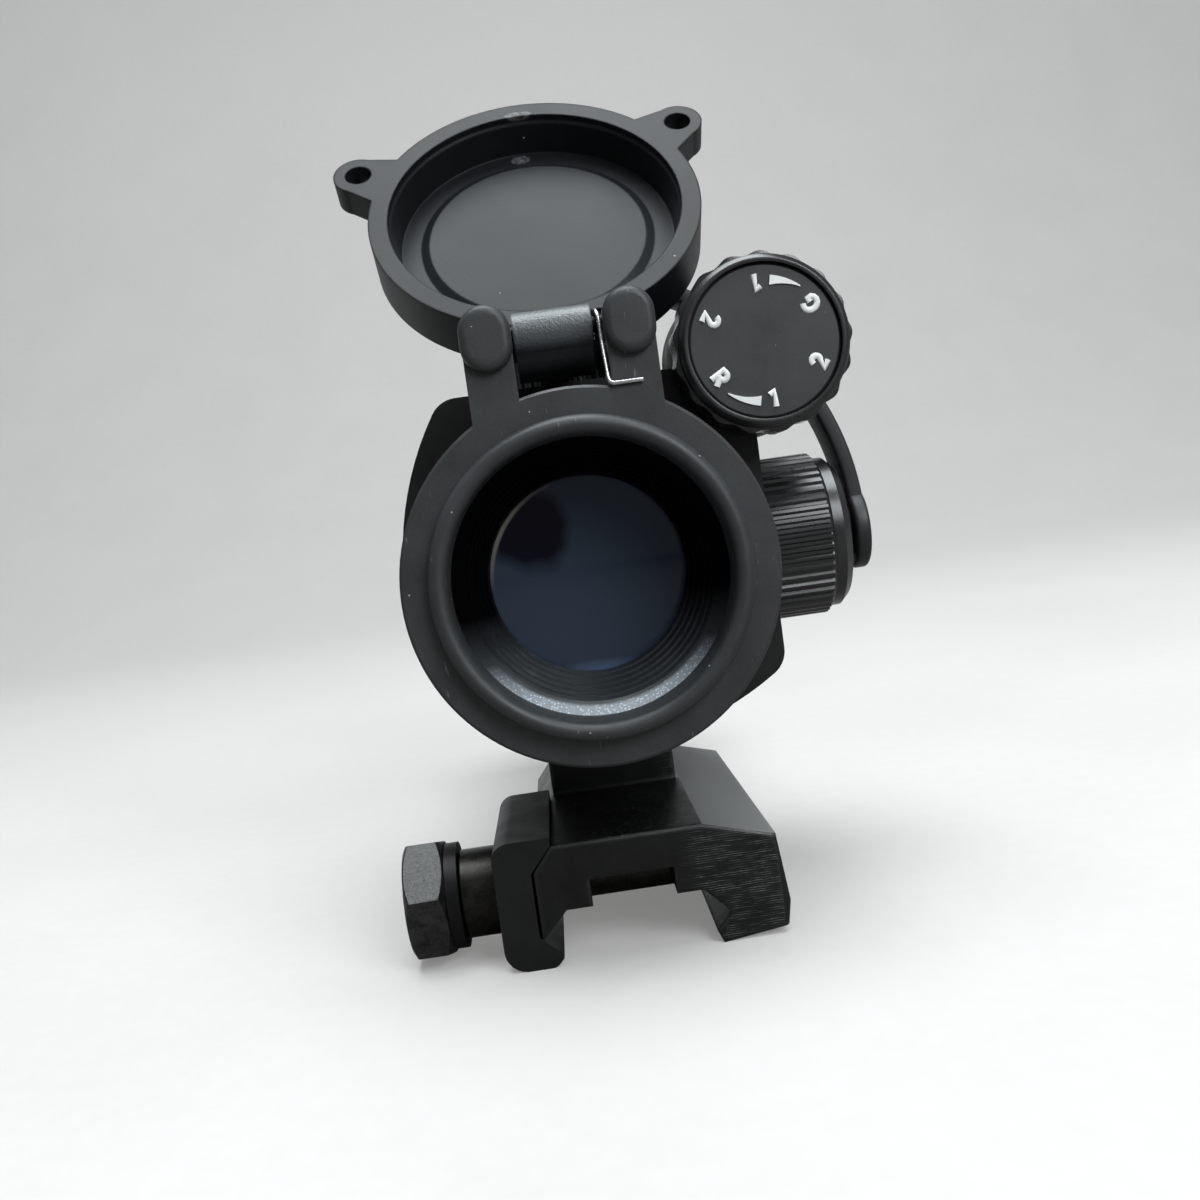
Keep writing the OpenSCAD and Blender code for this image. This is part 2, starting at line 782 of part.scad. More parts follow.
module detent_ball() {
  color(steel) knob_way() translate([detent_at, 0, housing_y + 0.2]) sphere(r = detent_ball_r);
}

// A coil along z between two heights, its radius changing evenly, with flat ends
function coil(r0, r1, z0, z1, turns) = [
  for (i = [0:turns * rings_per_turn])
    let (u = i / (turns * rings_per_turn), a = 360 * turns * u, r = r0 + (r1 - r0) * u)
      [r * cos(a), r * sin(a), z0 + (z1 - z0) * u]
];

detent_coil = coil(
  detent_ball_r - 2 * detent_wire_r, detent_ball_r - 2 * detent_wire_r, housing_y + 1.15,
  housing_y + detent_pocket_d - detent_wire_r - run_gap, 1.5
);
module detent_spring() {
  echo(detent_spring_gap = least_gap(detent_coil, detent_wire_r));
  color(steel) knob_way() translate([detent_at, 0, 0]) wire(detent_coil, detent_wire_r);
}

module switch_board() {
  color(board_green)
    knob_way() translate([0, 0, board_y]) cylinder(r = housing_bore_r - bolt_gap, h = board_t);
}

battery_coil = coil(
  0.7 * cell_r, cell_r / 3, board_y + board_t + battery_wire_r + run_gap,
  cell_y - battery_wire_r - run_gap, battery_turns
);
module battery_spring() {
  echo(battery_spring_gap = least_gap(battery_coil, battery_wire_r));
  color(steel) knob_way() wire(battery_coil, battery_wire_r);
}

module battery() {
  lid_h = 0.4;
  color(steel)
    knob_way()
      translate([0, 0, cell_y]) {
        translate([0, 0, lid_h]) cylinder(r = cell_r, h = cell_h - lid_h);
        cylinder(r = cell_r - 1.2, h = lid_h + 0.1);
      }
}

module battery_cap() {
  flange_y = housing_end_y + run_gap;
  plug_y = cell_y + cell_h + run_gap;
  groove = 2 * battery_seal_wire_r;
  edge = 0.6;
  coin_slot = 1.8;
  color(satin_black)
    knob_way()
      difference() {
        union() {
          translate([0, 0, plug_y])
            cylinder(r = housing_bore_r - run_gap, h = flange_y - plug_y + past);
          translate([0, 0, flange_y])
            rotate_extrude()
              polygon([
                [0, 0], [housing_r, 0], [housing_r, battery_cap_t - edge],
                [housing_r - edge, battery_cap_t], [0, battery_cap_t]
              ]);
        }
        tube_ring(housing_r, housing_bore_r - groove, flange_y - groove - run_gap, flange_y);
        translate([-housing_r - past, -coin_slot / 2, flange_y + battery_cap_t - slot_d])
          cube([2 * (housing_r + past), coin_slot, slot_d + past]);
      }
}

module battery_cap_seal() {
  color(gloss_black)
    knob_way()
      translate([0, 0, housing_end_y - battery_seal_wire_r])
        rotate_extrude()
          translate([housing_bore_r - battery_seal_wire_r - run_gap, 0])
            circle(r = battery_seal_wire_r - run_gap, $fn = 24);
}

// Lens cover ring with its two hinge arms, in the covers' frame
module arm_outline() {
  translate([arm_gap, lip_r]) square([arm_w, arm_top_y - lip_r]);
  translate([arm_mid, arm_top_y]) circle(r = arm_w / 2);
}

module soft_boss() {
  half = concat(
    [[0, -boss_root], [boss_r, -boss_root]],
    arc(boss_r - boss_edge, boss_rise - boss_edge, boss_edge, 0, 90, 4), [[0, boss_rise]]
  );
  for (down = [0, boss_len]) translate([arm_mid, boss_top_y - down, 0]) rotate_extrude() polygon(half);
  translate([arm_mid, boss_top_y, 0])
    rotate([90, 0, 0])
      linear_extrude(boss_len) {
        polygon(half);
        mirror([1, 0]) polygon(half);
      }
}

module cover_ring() {
  crest_r = (lip_r - hole_r) / 2;
  ring_edge = 0.3;
  color(dark_rubber)
    difference() {
      union() {
        rotate_extrude()
          polygon(concat(
            [[0, -ring_depth], [ring_r, -ring_depth], [ring_r, -ring_edge]],
            [[ring_r - ring_edge, 0], [lip_r, 0]],
            arc(lip_r - crest_r, lip_h - crest_r, crest_r, 0, 180, 8),
            [[0, lip_h - crest_r]]
          ));
        for (side = [0, 1])
          mirror([side, 0, 0]) {
            translate([0, 0, -arm_depth]) linear_extrude(arm_depth) arm_outline();
            soft_boss();
          }
      }
      translate([0, 0, -ring_depth - past]) cylinder(r = socket_r, h = ring_depth + past - ring_stop);
      translate([0, 0, -ring_depth]) cylinder(r = hole_r, h = ring_depth + lip_h + past);
      hinge_line() cylinder_x(pin_r + run_gap / 2, -arm_gap - arm_w - past, arm_gap + arm_w + past);
    }
}

// Flip cover, drawn closed
module cover_ear() {
  ear_dist = norm([ear_x, ear_y]);
  rotate([0, 0, -atan2(ear_y, ear_x)])
    difference() {
      union() {
        translate([ear_dist, 0]) circle(r = ear_r);
        polygon([
          [cover_r - cover_wall, -ear_r - ear_root], [ear_dist, -ear_r],
          [ear_dist, ear_r], [cover_r - cover_wall, ear_r + ear_root]
        ]);
      }
      translate([ear_dist, 0]) circle(r = ear_hole_r);
    }
}

module cover_tab() {
  back = -hinge_back;
  translate([barrel_start, 0, 0])
    rotate([90, 0, 90])
      linear_extrude(barrel_end - barrel_start)
        polygon([
          [hinge_h - barrel_r + 0.3, back + 0.3], [hinge_h + barrel_r - 0.3, back + 0.3],
          [hinge_h + barrel_r - 0.7, 1.2], [cover_r - past, cover_start + 4.6],
          [cover_r - past, cover_start], [hinge_h - barrel_r - 2.4, cover_start]
        ]);
}

module flip_cover() {
  rim_r = cover_r - cover_wall;
  floor_z = cover_top - cover_floor;
  floor_r = rim_r - cover_draft;
  rim_line = 0.8;
  rim_step = 0.3;
  color(satin_black)
    difference() {
      union() {
        rotate_extrude()
          polygon([
            [0, cover_start], [cover_r, cover_start], [cover_r, cover_top - cover_edge],
            [cover_r - cover_edge, cover_top], [0, cover_top]
          ]);
        translate([0, 0, cover_start])
          rotate([0, 0, ear_turn])
            for (side = [0, 1]) mirror([side, 0, 0]) linear_extrude(ear_t) cover_ear();
        cover_tab();
        hinge_line() cylinder_x(barrel_r, barrel_start, barrel_end);
      }
      rotate_extrude()
        polygon([
          [0, cover_start - past], [rim_r, cover_start - past], [rim_r, cover_start + rim_line],
          [rim_r - rim_step, cover_start + rim_line + rim_step], [floor_r, floor_z],
          [disc_r + disc_slope, floor_z], [disc_r, floor_z - disc_rise], [0, floor_z - disc_rise]
        ]);
      hinge_line() {
        cylinder_x(pin_r + run_gap, barrel_start - past, barrel_end + past);
        cylinder_x(coil_room_r, coil_room_start, barrel_end + past);
        rotate([tab_angle + 90, 0, 0])
          translate([0, hinge_coil_r, 0])
            cylinder_x(hinge_wire_r + leg_gap, coil_room_start - leg_in - leg_gap, coil_room_start + past);
      }
      translate([coil_end - leg_room, hinge_h - leg_drop - leg_room, 0])
        cube([leg_foot + 2 * leg_room, 2 * leg_room, 2 * hinge_wire_r + leg_room / 2]);
    }
}

module hinge_pin() {
  reach = arm_gap + arm_w - 0.3;
  color(steel) hinge_line() cylinder_x(pin_r, -reach, reach);
}

// Hinge spring round the pin: one end sits in a hole in the cover's barrel, the other leg lies on the ring.
// turn is the angle by which the cover is open.
function spring_path(turn) =
  let (
    start = tab_angle + 90 - turn,
    end = 90 + 360 * hinge_turns,
    steps = ceil((end - start) / 360 * rings_per_turn),
    tucked = [coil_room_start - leg_in, hinge_coil_r * cos(start), hinge_coil_r * sin(start)],
    foot_z = hinge_back + hinge_wire_r + run_gap
  )
    concat(
      [tucked, tucked + [leg_in / 2, 0, 0], tucked + [leg_in + 0.2, 0, 0]],
      [for (i = [0:steps])
        let (u = i / steps, a = start + (end - start) * u)
          [coil_start + (coil_end - coil_start) * u, hinge_coil_r * cos(a), hinge_coil_r * sin(a)]],
      [[coil_end, -hinge_coil_r - 1, 2], [coil_end, 0.4 - leg_drop, foot_z - 0.2],
        [coil_end + 0.4, -leg_drop, foot_z], [coil_end + leg_foot - 0.6, -leg_drop, foot_z],
        [coil_end + leg_foot, -leg_drop, foot_z]]
    );

module hinge_spring(turn) {
  path = spring_path(turn);
  echo(hinge_spring_gap = least_gap(path, hinge_wire_r), cover_turn = turn);
  color(steel) hinge_line() wire(path, hinge_wire_r);
}

module rear_cover_ring() rear_cover_place() cover_ring();
module rear_flip_cover()
  rear_cover_place()
    hinge_line() rotate([-open_angle, 0, 0]) translate([0, -hinge_h, hinge_back]) flip_cover();
module rear_hinge_pin() rear_cover_place() hinge_pin();
module rear_hinge_spring() rear_cover_place() hinge_spring(open_angle);
module front_cover_ring() front_cover_place() cover_ring();
module front_flip_cover() front_cover_place() flip_cover();
module front_hinge_pin() front_cover_place() hinge_pin();
module front_hinge_spring() front_cover_place() hinge_spring(0);

// Rail base, riser and lower half of the mount ring
module base_outline() {
  slope_drop = 2.3;
  polygon([
    [groove_half, 0], [rail_top_half, 0], [rail_half, -rail_slope],
    [rail_half - hook_reach, -hook_low], [rail_half - hook_reach + 0.6, -base_low],
    [hook_side - 0.6, -base_low + 0.9], [hook_side, -rail_slope],
    [hook_side - 0.9, base_t - slope_drop], [riser_w / 2 + 0.4, base_t],
    [-jaw_side + base_chamfer, base_t], [-jaw_side, base_t - base_chamfer - 0.5],
    [-jaw_side, rail_top_half - jaw_side], [-rail_top_half, 0],
    [-groove_half, 0], [-groove_half, groove_d], [groove_half, groove_d]
  ]);
}

module half_ring_outline() {
  difference() {
    union() {
      circle(r = mount_ring_r);
      translate([-lug_half, 0]) square([2 * lug_half, lug_h + ring_split / 2]);
    }
    translate([-2 * lug_half, -4 * lug_half + ring_split / 2]) square(4 * lug_half);
  }
}

module mount_ring_bore() {
  turned([
    [0, mount_ring_y - past], [ring_bore_r, mount_ring_y - past],
    [ring_bore_r, mount_ring_end_y + past], [0, mount_ring_end_y + past]
  ]);
}

module ring_screw_places() {
  for (side = [-1, 1], along = [0.25, 0.75])
    translate([side * lug_screw_x, mount_ring_y + along * mount_ring_len, axis_h]) children();
}

module mount_base() {
  color(satin_black)
    difference() {
      union() {
        slab(base_y, base_end_y) base_outline();
        translate([-riser_w / 2, riser_y, base_t - past])
          cube([riser_w, mount_ring_end_y - riser_y, low_riser_top - base_t + past]);
        translate([-riser_w / 2, mount_ring_y, base_t - past])
          cube([riser_w, mount_ring_len, axis_h - tube_r - base_t + past]);
        slab(mount_ring_y, mount_ring_end_y) translate([0, axis_h]) mirror([0, 1]) half_ring_outline();
      }
      mount_ring_bore();
      clamp_way()
        translate([0, 0, -bolt_inside - run_gap]) cylinder(r = bolt_r + run_gap, h = 3 * bolt_inside);
      ring_screw_places()
        translate([0, 0, -ring_split / 2 - ring_screw_deep - past])
          cylinder(r = ring_screw_r + run_gap, h = ring_screw_deep + 2 * past);
      translate([hook_side, base_y, 0])
        rotate([0, 0, 45]) cube([base_corner * sqrt(2), base_corner * sqrt(2), 4 * base_t], center = true);
    }
}

module mount_ring_cap() {
  color(satin_black)
    difference() {
      slab(mount_ring_y, mount_ring_end_y) translate([0, axis_h]) half_ring_outline();
      mount_ring_bore();
      ring_screw_places() {
        cylinder(r = ring_screw_r + bolt_gap, h = lug_h + past);
        translate([0, 0, ring_split / 2 + lug_h]) cylinder(r = ring_screw_head_r + bolt_gap, h = lug_h);
      }
    }
}

module mount_ring_screws() {
  head_z = ring_split / 2 + lug_h + run_gap;
  socket_af = 2.2;
  socket_d = 1.2;
  color(satin_black)
    ring_screw_places()
      difference() {
        union() {
          translate([0, 0, -ring_split / 2 - ring_screw_deep])
            cylinder(r = ring_screw_r, h = head_z + ring_split / 2 + ring_screw_deep + past);
          translate([0, 0, head_z]) cylinder(r = ring_screw_head_r, h = ring_screw_head_h);
        }
        translate([0, 0, head_z + ring_screw_head_h - socket_d])
          cylinder(d = socket_af / cos(30), h = socket_d + past, $fn = 6);
      }
}

// Rail clamp on the jaw side
module jaw_outline() {
  top = base_t + jaw_rise;
  tip = rail_half - hook_reach - 0.2;
  back = [-jaw_inner + base_chamfer + 0.3, top];
  wall = [-jaw_inner, -rail_slope + 0.2];
  toe = [-tip, -hook_low - 0.2];
  sole = [-tip - 1.2, -base_low];
  heel = [-jaw_outer, -base_low];
  crown = [-jaw_outer, top];
  polygon(concat(
    [back, back - [0, jaw_rise - 0.1], [-jaw_inner, base_t - base_chamfer - 0.6], wall],
    corner(wall, toe, sole, jaw_toe_round, 4),
    corner(toe, sole, heel, jaw_sole_round, 4),
    corner(sole, heel, crown, jaw_heel_round, 8),
    corner(heel, crown, back, jaw_crown_round, 8)
  ));
}

module clamp_jaw() {
  color(satin_black)
    difference() {
      slab(base_y, base_y + jaw_len) jaw_outline();
      clamp_way() cylinder(r = bolt_r + bolt_gap, h = 2 * jaw_outer);
    }
}

module clamp_bolt() {
  color(worn_steel)
    clamp_way()
      translate([0, 0, -bolt_inside]) {
        cylinder(r = bolt_r, h = bolt_inside + nut_end - bolt_tip);
        translate([0, 0, bolt_inside + nut_end - bolt_tip])
          cylinder(r1 = bolt_r, r2 = bolt_r - bolt_tip, h = bolt_tip);
      }
}

module clamp_collar() {
  color(worn_steel)
    clamp_way() tube_ring(collar_r, bolt_r + bolt_gap, jaw_outer + run_gap, washer_out);
}

module clamp_washer() {
  color(gloss_black)
    clamp_way() tube_ring(washer_r, bolt_r + bolt_gap, washer_out + run_gap, nut_out);
}

module clamp_nut() {
  chamfer_r = nut_af / 2 - 0.2;
  outside_r = nut_corner_r + past;
  chamfer_t = (outside_r - chamfer_r) * tan(30);
  color(worn_steel)
    clamp_way()
      translate([0, 0, nut_out + run_gap])
        difference() {
          intersection() {
            rotate([0, 0, nut_turn - 90]) cylinder(r = nut_corner_r, h = nut_t, $fn = 6);
            rotate_extrude()
              polygon([
                [0, 0], [chamfer_r, 0], [outside_r, chamfer_t], [outside_r, nut_t - chamfer_t],
                [chamfer_r, nut_t], [0, nut_t]
              ]);
          }
          translate([0, 0, -past]) cylinder(r = bolt_r + run_gap, h = nut_t + 2 * past);
        }
}

tube_body();
rear_lens();
rear_lens_ring();
inner_tube();
front_lens();
front_lens_ring();
led_emitter();
tube_leaf_spring();
windage_screw();
elevation_screw();
windage_cap();
elevation_cap();
windage_seal();
elevation_seal();
windage_strap_screw();
elevation_strap_screw();
cap_strap();
brightness_knob();
dial_plate();
detent_ball();
detent_spring();
switch_board();
battery();
battery_spring();
battery_cap();
battery_cap_seal();
rear_cover_ring();
rear_flip_cover();
rear_hinge_pin();
rear_hinge_spring();
front_cover_ring();
front_flip_cover();
front_hinge_pin();
front_hinge_spring();
mount_base();
mount_ring_cap();
mount_ring_screws();
clamp_jaw();
clamp_bolt();
clamp_collar();
clamp_washer();
clamp_nut();
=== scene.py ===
"""Looks of a tube red dot sight with flip-up lens covers, seen from the eyepiece."""

import json
import math

import bpy
from mathutils import Matrix, Vector


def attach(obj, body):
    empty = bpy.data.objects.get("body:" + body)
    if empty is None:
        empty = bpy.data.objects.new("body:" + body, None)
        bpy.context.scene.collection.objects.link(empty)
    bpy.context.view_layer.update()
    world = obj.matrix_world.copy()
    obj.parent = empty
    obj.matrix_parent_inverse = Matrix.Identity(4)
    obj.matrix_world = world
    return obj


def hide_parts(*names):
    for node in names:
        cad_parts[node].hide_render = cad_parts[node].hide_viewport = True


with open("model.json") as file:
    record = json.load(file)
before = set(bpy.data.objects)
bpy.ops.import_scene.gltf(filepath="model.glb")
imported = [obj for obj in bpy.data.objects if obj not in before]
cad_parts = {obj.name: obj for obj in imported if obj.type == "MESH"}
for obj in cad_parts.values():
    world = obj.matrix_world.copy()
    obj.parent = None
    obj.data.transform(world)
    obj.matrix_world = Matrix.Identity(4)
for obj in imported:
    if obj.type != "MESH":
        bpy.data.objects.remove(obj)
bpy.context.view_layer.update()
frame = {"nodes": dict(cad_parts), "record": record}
nodes = frame["nodes"]

# Sizes in millimetres, as in the part's source
MM = 0.001
AXIS_H = 37.0
REAR_FACE_Y = -30.0
FRONT_FACE_Y = 88.0
FLOOR_Z = -6.4

# Camera: where it stands, and where the picture shows the tube's far direction
CAMERA_AT = (-3.5, -154.7, 43.5)
PICTURE_PX = 1200.0
FOCAL_PX = 1200.0
FAR_POINT_PX = (550.0, 521.0)
ROLL_DEG = 8.0
SENSOR_MM = 36.0
CLIP_NEAR_M = 0.005


def place_camera():
    """The camera looks nearly along the tube, a little rolled and raised."""
    data = bpy.data.cameras.new("camera")
    data.sensor_width = SENSOR_MM
    data.lens = SENSOR_MM * FOCAL_PX / PICTURE_PX
    data.clip_start = CLIP_NEAR_M
    camera = bpy.data.objects.new("camera", data)
    bpy.context.scene.collection.objects.link(camera)
    half = PICTURE_PX / 2
    ahead = Vector((FAR_POINT_PX[0] - half, half - FAR_POINT_PX[1], -FOCAL_PX)).normalized()
    roll = math.radians(ROLL_DEG)
    right = Vector((math.cos(roll), math.sin(roll), 0.0))
    right = (right - right.dot(ahead) * ahead).normalized()
    turn = Matrix((right, ahead, right.cross(ahead))).to_4x4()
    camera.matrix_world = Matrix.Translation(Vector(CAMERA_AT) * MM) @ turn
    bpy.context.scene.camera = camera


place_camera()


# Lens covers, in their own frame: x right, y up, z out of the tube
HINGE_H = 26.6
HINGE_BACK = 4.8
OPEN_DEG = 217.0


def open_cover(point):
    """Where a point of the shut rear cover is when the cover rests open."""
    turn = math.radians(-OPEN_DEG)
    y = point[1] - HINGE_H
    z = point[2] + HINGE_BACK
    up = y * math.cos(turn) - z * math.sin(turn)
    out = y * math.sin(turn) + z * math.cos(turn)
    return (point[0], REAR_FACE_Y - out + HINGE_BACK, AXIS_H + HINGE_H + up)


# Node material helpers: roughness of all noise, the full part of a dot's radius, samples of soft edges
NOISE_ROUGHNESS = 0.55
DOT_CORE = 0.6
EDGE_SAMPLES = 6


def start_material(name):
    """A new material with its tree and shader."""
    made = bpy.data.materials.new(name)
    made.use_nodes = True
    return made, made.node_tree, made.node_tree.nodes["Principled BSDF"]


def fill(tree, socket, value):
    """A value for a socket, or a link if the value is a socket itself."""
    if isinstance(value, bpy.types.NodeSocket):
        tree.links.new(value, socket)
    else:
        socket.default_value = value


def add(tree, kind, settings=None, **values):
    """A node with its settings and input values; a value that is a socket is linked."""
    node = tree.nodes.new(kind)
    for key, value in (settings or {}).items():
        setattr(node, key, value)
    for key, value in values.items():
        fill(tree, node.inputs[key.replace("_", " ")], value)
    return node


def spot(tree):
    """Object position in millimetres."""
    place = add(tree, "ShaderNodeTexCoord").outputs["Object"]
    node = add(tree, "ShaderNodeVectorMath", {"operation": "SCALE"}, Vector=place, Scale=1.0 / MM)
    return node.outputs["Vector"]


def noise(tree, place, size, detail=3.0):
    """Noise whose blobs are about size millimetres across."""
    node = add(tree, "ShaderNodeTexNoise", Vector=place, Scale=1.0 / size, Detail=detail)
    node.inputs["Roughness"].default_value = NOISE_ROUGHNESS
    return node.outputs["Fac"]


def remap(tree, value, low, high, to_low=0.0, to_high=1.0):
    """A value moved from one range to another, clamped."""
    node = add(tree, "ShaderNodeMapRange", {"clamp": True}, Value=value, From_Min=low, From_Max=high)
    node.inputs["To Min"].default_value = to_low
    node.inputs["To Max"].default_value = to_high
    return node.outputs["Result"]


def between(tree, share, none, full):
    """A value between two, by a share from 0 to 1."""
    return remap(tree, share, 0.0, 1.0, none, full)


def maths(tree, operation, a, b=0.0):
    """One operation on two values or sockets."""
    node = add(tree, "ShaderNodeMath", {"operation": operation})
    for socket, value in zip(node.inputs, (a, b)):
        fill(tree, socket, value)
    return node.outputs[0]


def tint(tree, share, low, high):
    """A colour between two, by a share from 0 to 1."""
    node = add(tree, "ShaderNodeMix", {"data_type": "RGBA"})
    fill(tree, node.inputs[0], share)
    for socket, colour in ((node.inputs[6], low), (node.inputs[7], high)):
        fill(tree, socket, (*colour, 1.0) if isinstance(colour, tuple) else colour)
    return node.outputs[2]


def dots(tree, place, size, radius, share):
    """Sparse round dots: 1 inside a dot, 0 outside; share is how many cells hold one."""
    cell = add(tree, "ShaderNodeTexVoronoi", Vector=place, Scale=1.0 / size)
    inside = remap(tree, cell.outputs["Distance"], radius * DOT_CORE, radius, 1.0, 0.0)
    parts = add(tree, "ShaderNodeSeparateColor", Color=cell.outputs["Color"])
    chosen = maths(tree, "LESS_THAN", parts.outputs[0], share)
    return maths(tree, "MULTIPLY", inside, chosen)


def apart(tree, place, middle, squash=(1.0, 1.0, 1.0)):
    """Distance in millimetres from a point, with each direction weighted by squash."""
    away = add(tree, "ShaderNodeVectorMath", {"operation": "SUBTRACT"}, Vector=place)
    away.inputs[1].default_value = middle
    sized = add(tree, "ShaderNodeVectorMath", {"operation": "MULTIPLY"}, Vector=away.outputs["Vector"])
    sized.inputs[1].default_value = squash
    far = add(tree, "ShaderNodeVectorMath", {"operation": "LENGTH"}, Vector=sized.outputs["Vector"])
    return far.outputs["Value"]


def across(tree, place, point, wide=1.0, high=1.0):
    """Distance in millimetres, seen along the tube, from a point right of and above its axis."""
    return apart(tree, place, (point[0], 0.0, AXIS_H + point[1]), (wide, 0.0, high))


def stretched(tree, place, factors):
    """Place scaled per direction, for streaks."""
    node = add(tree, "ShaderNodeVectorMath", {"operation": "MULTIPLY"}, Vector=place)
    node.inputs[1].default_value = factors
    return node.outputs["Vector"]


def soft_edges(tree, radius):
    """Surface direction with the edges shaded as rounded, by a radius in millimetres."""
    node = add(tree, "ShaderNodeBevel", {"samples": EDGE_SAMPLES}, Radius=radius * MM)
    return node.outputs["Normal"]


def relief(tree, shader, height, depth, normal=None):
    """Surface relief of a depth in millimetres, on a surface direction if one is given."""
    bump = add(tree, "ShaderNodeBump", Height=height, Distance=depth * MM, Strength=1.0)
    if normal:
        tree.links.new(normal, bump.inputs["Normal"])
    tree.links.new(bump.outputs["Normal"], shader.inputs["Normal"])


# Share of the large blobs in a finish's tone, and the noise values between which tone and gloss change
BLOB_SHARE = 0.6
TONE_RANGE = (0.35, 0.65)
GLOSS_RANGE = (0.3, 0.7)


def finish_of(
    name, low, high, rough, spread=0.08, blob=6.0, grain=0.25, depth=0.02, metal=0.0, specular=0.5
):
    """A painted, moulded or machined finish: two tones, uneven gloss and a fine grain.

    Blob and grain are sizes and depth is the relief, all in millimetres.
    """
    made, tree, shader = start_material(name)
    place = spot(tree)
    large = noise(tree, place, blob)
    fine = noise(tree, place, grain, detail=2.0)
    from_blobs = maths(tree, "MULTIPLY", large, BLOB_SHARE)
    from_grain = maths(tree, "MULTIPLY", fine, 1.0 - BLOB_SHARE)
    share = remap(tree, maths(tree, "ADD", from_blobs, from_grain), *TONE_RANGE)
    colour = tint(tree, share, low, high)
    gloss = remap(tree, large, *GLOSS_RANGE, rough - spread, rough + spread)
    tree.links.new(colour, shader.inputs["Base Color"])
    tree.links.new(gloss, shader.inputs["Roughness"])
    shader.inputs["Metallic"].default_value = metal
    shader.inputs["Specular IOR Level"].default_value = specular
    relief(tree, shader, fine, depth)
    return made, tree, shader, place, colour


def plain_finish(name, low, high, **looks):
    """A finish with nothing more on it."""
    return finish_of(name, low, high, **looks)[0]


def dusty(tree, shader, place, colour, size, radius, share, pale):
    """Pale dust over a finish; size is the spacing in millimetres and radius a part of it."""
    dust = dots(tree, place, size, radius, share)
    tree.links.new(tint(tree, dust, colour, pale), shader.inputs["Base Color"])


def anodised():
    """Satin black anodised aluminium."""
    low = (0.006, 0.006, 0.0062)
    high = (0.01, 0.01, 0.0104)
    return plain_finish("anodised", low, high, rough=0.44, grain=0.18, depth=0.006, specular=0.35)


def bezel_rubber():
    """Dark grey soft plastic of the cover rings, with dust and a few short scratches."""
    low = (0.026, 0.028, 0.029)
    high = (0.038, 0.041, 0.0425)
    made, tree, shader, place, colour = finish_of(
        "bezel_rubber", low, high, rough=0.47, grain=0.22, depth=0.012
    )
    streaks = noise(tree, stretched(tree, place, (1.0, 1.0, 0.18)), size=0.35, detail=1.0)
    patches = remap(tree, noise(tree, place, size=5.0, detail=1.0), 0.56, 0.62)
    scratches = maths(tree, "MULTIPLY", remap(tree, streaks, 0.7, 0.76, 0.0, 0.5), patches)
    scuffed = tint(tree, scratches, colour, (0.2, 0.2, 0.2))
    dusty(tree, shader, place, scuffed, size=1.5, radius=0.07, share=0.42, pale=(0.42, 0.42, 0.42))
    return made


# Two moulding marks, on the rim and on the wall inside it, painted pale as highlights for their shine:
# places in the shut cover's frame, weights for their shape, and the weighted distances between which
# they end
GATE_MARK = (-0.2, -18.3, 0.4)
GATE_SHAPE = (0.55, 1.6, 1.6)
MOULD_MARK = (-0.6, -16.0, 5.5)
MOULD_SHAPE = (0.7, 1.0, 1.0)
MARK_FADE = (0.85, 1.1)
MOULD_LESS = 0.15
# Distances from the hinge axis between which the barrel's pebbled finish and its painted sheen end
BARREL_FADE = (3.1, 5.0)
PEBBLE_SIZE = 0.28
PEBBLE_HEIGHT = 6.0
COVER_EDGE = 0.35


def cover_plastic():
    """Satin black plastic of the flip covers: pebbled barrel with a painted sheen, dust, and two
    moulding marks painted pale as highlights.
    """
    low = (0.009, 0.0105, 0.0115)
    high = (0.012, 0.014, 0.0155)
    made, tree, shader, place, colour = finish_of(
        "cover_plastic", low, high, rough=0.42, spread=0.03, blob=14.0, grain=0.3, depth=0.01
    )
    axis = (0.0, REAR_FACE_Y + HINGE_BACK, AXIS_H + HINGE_H)
    hinge = apart(tree, place, axis, (0.0, 1.0, 1.0))
    barrel = remap(tree, hinge, *BARREL_FADE, 1.0, 0.0)
    tree.links.new(between(tree, barrel, 0.2, 1.0), shader.inputs["Specular IOR Level"])
    rise = maths(tree, "MULTIPLY", barrel, PEBBLE_HEIGHT)
    pebbles = maths(tree, "MULTIPLY", noise(tree, place, PEBBLE_SIZE, detail=2.0), rise)
    height = maths(tree, "ADD", pebbles, noise(tree, place, size=0.3, detail=2.0))
    relief(tree, shader, height, depth=0.012, normal=soft_edges(tree, COVER_EDGE))
    gate = apart(tree, place, open_cover(GATE_MARK), GATE_SHAPE)
    mould = apart(tree, place, open_cover(MOULD_MARK), MOULD_SHAPE)
    near = maths(tree, "MINIMUM", gate, maths(tree, "ADD", mould, MOULD_LESS))
    painted_mark_shine = remap(tree, near, *MARK_FADE, 1.0, 0.0)
    uneven = remap(tree, noise(tree, place, size=0.5), 0.4, 0.6, 0.2, 0.9)
    # The barrel is painted paler as a painted sheen
    painted_barrel_sheen = tint(tree, barrel, colour, (0.075, 0.085, 0.093))
    # Real moulding marks, painted pale as painted highlights for their shine
    marks_with_painted_shine = tint(tree, maths(tree, "MULTIPLY", painted_mark_shine, uneven), painted_barrel_sheen, (0.16, 0.165, 0.17))
    dusty(tree, shader, place, marks_with_painted_shine, size=3.0, radius=0.05, share=0.14, pale=(0.4, 0.4, 0.4))
    return made


def knob_gloss():
    """Glossy black plastic."""
    low = (0.008, 0.0085, 0.0085)
    high = (0.013, 0.0135, 0.014)
    return plain_finish("knob_gloss", low, high, rough=0.26, spread=0.05, depth=0.003, specular=0.7)


def ridged_cap():
    """Polished black anodised aluminium of the two adjuster caps."""
    low = (0.007, 0.0075, 0.008)
    high = (0.012, 0.0125, 0.013)
    return plain_finish(
        "ridged_cap", low, high, rough=0.28, spread=0.05, grain=0.15, depth=0.004, specular=0.8
    )


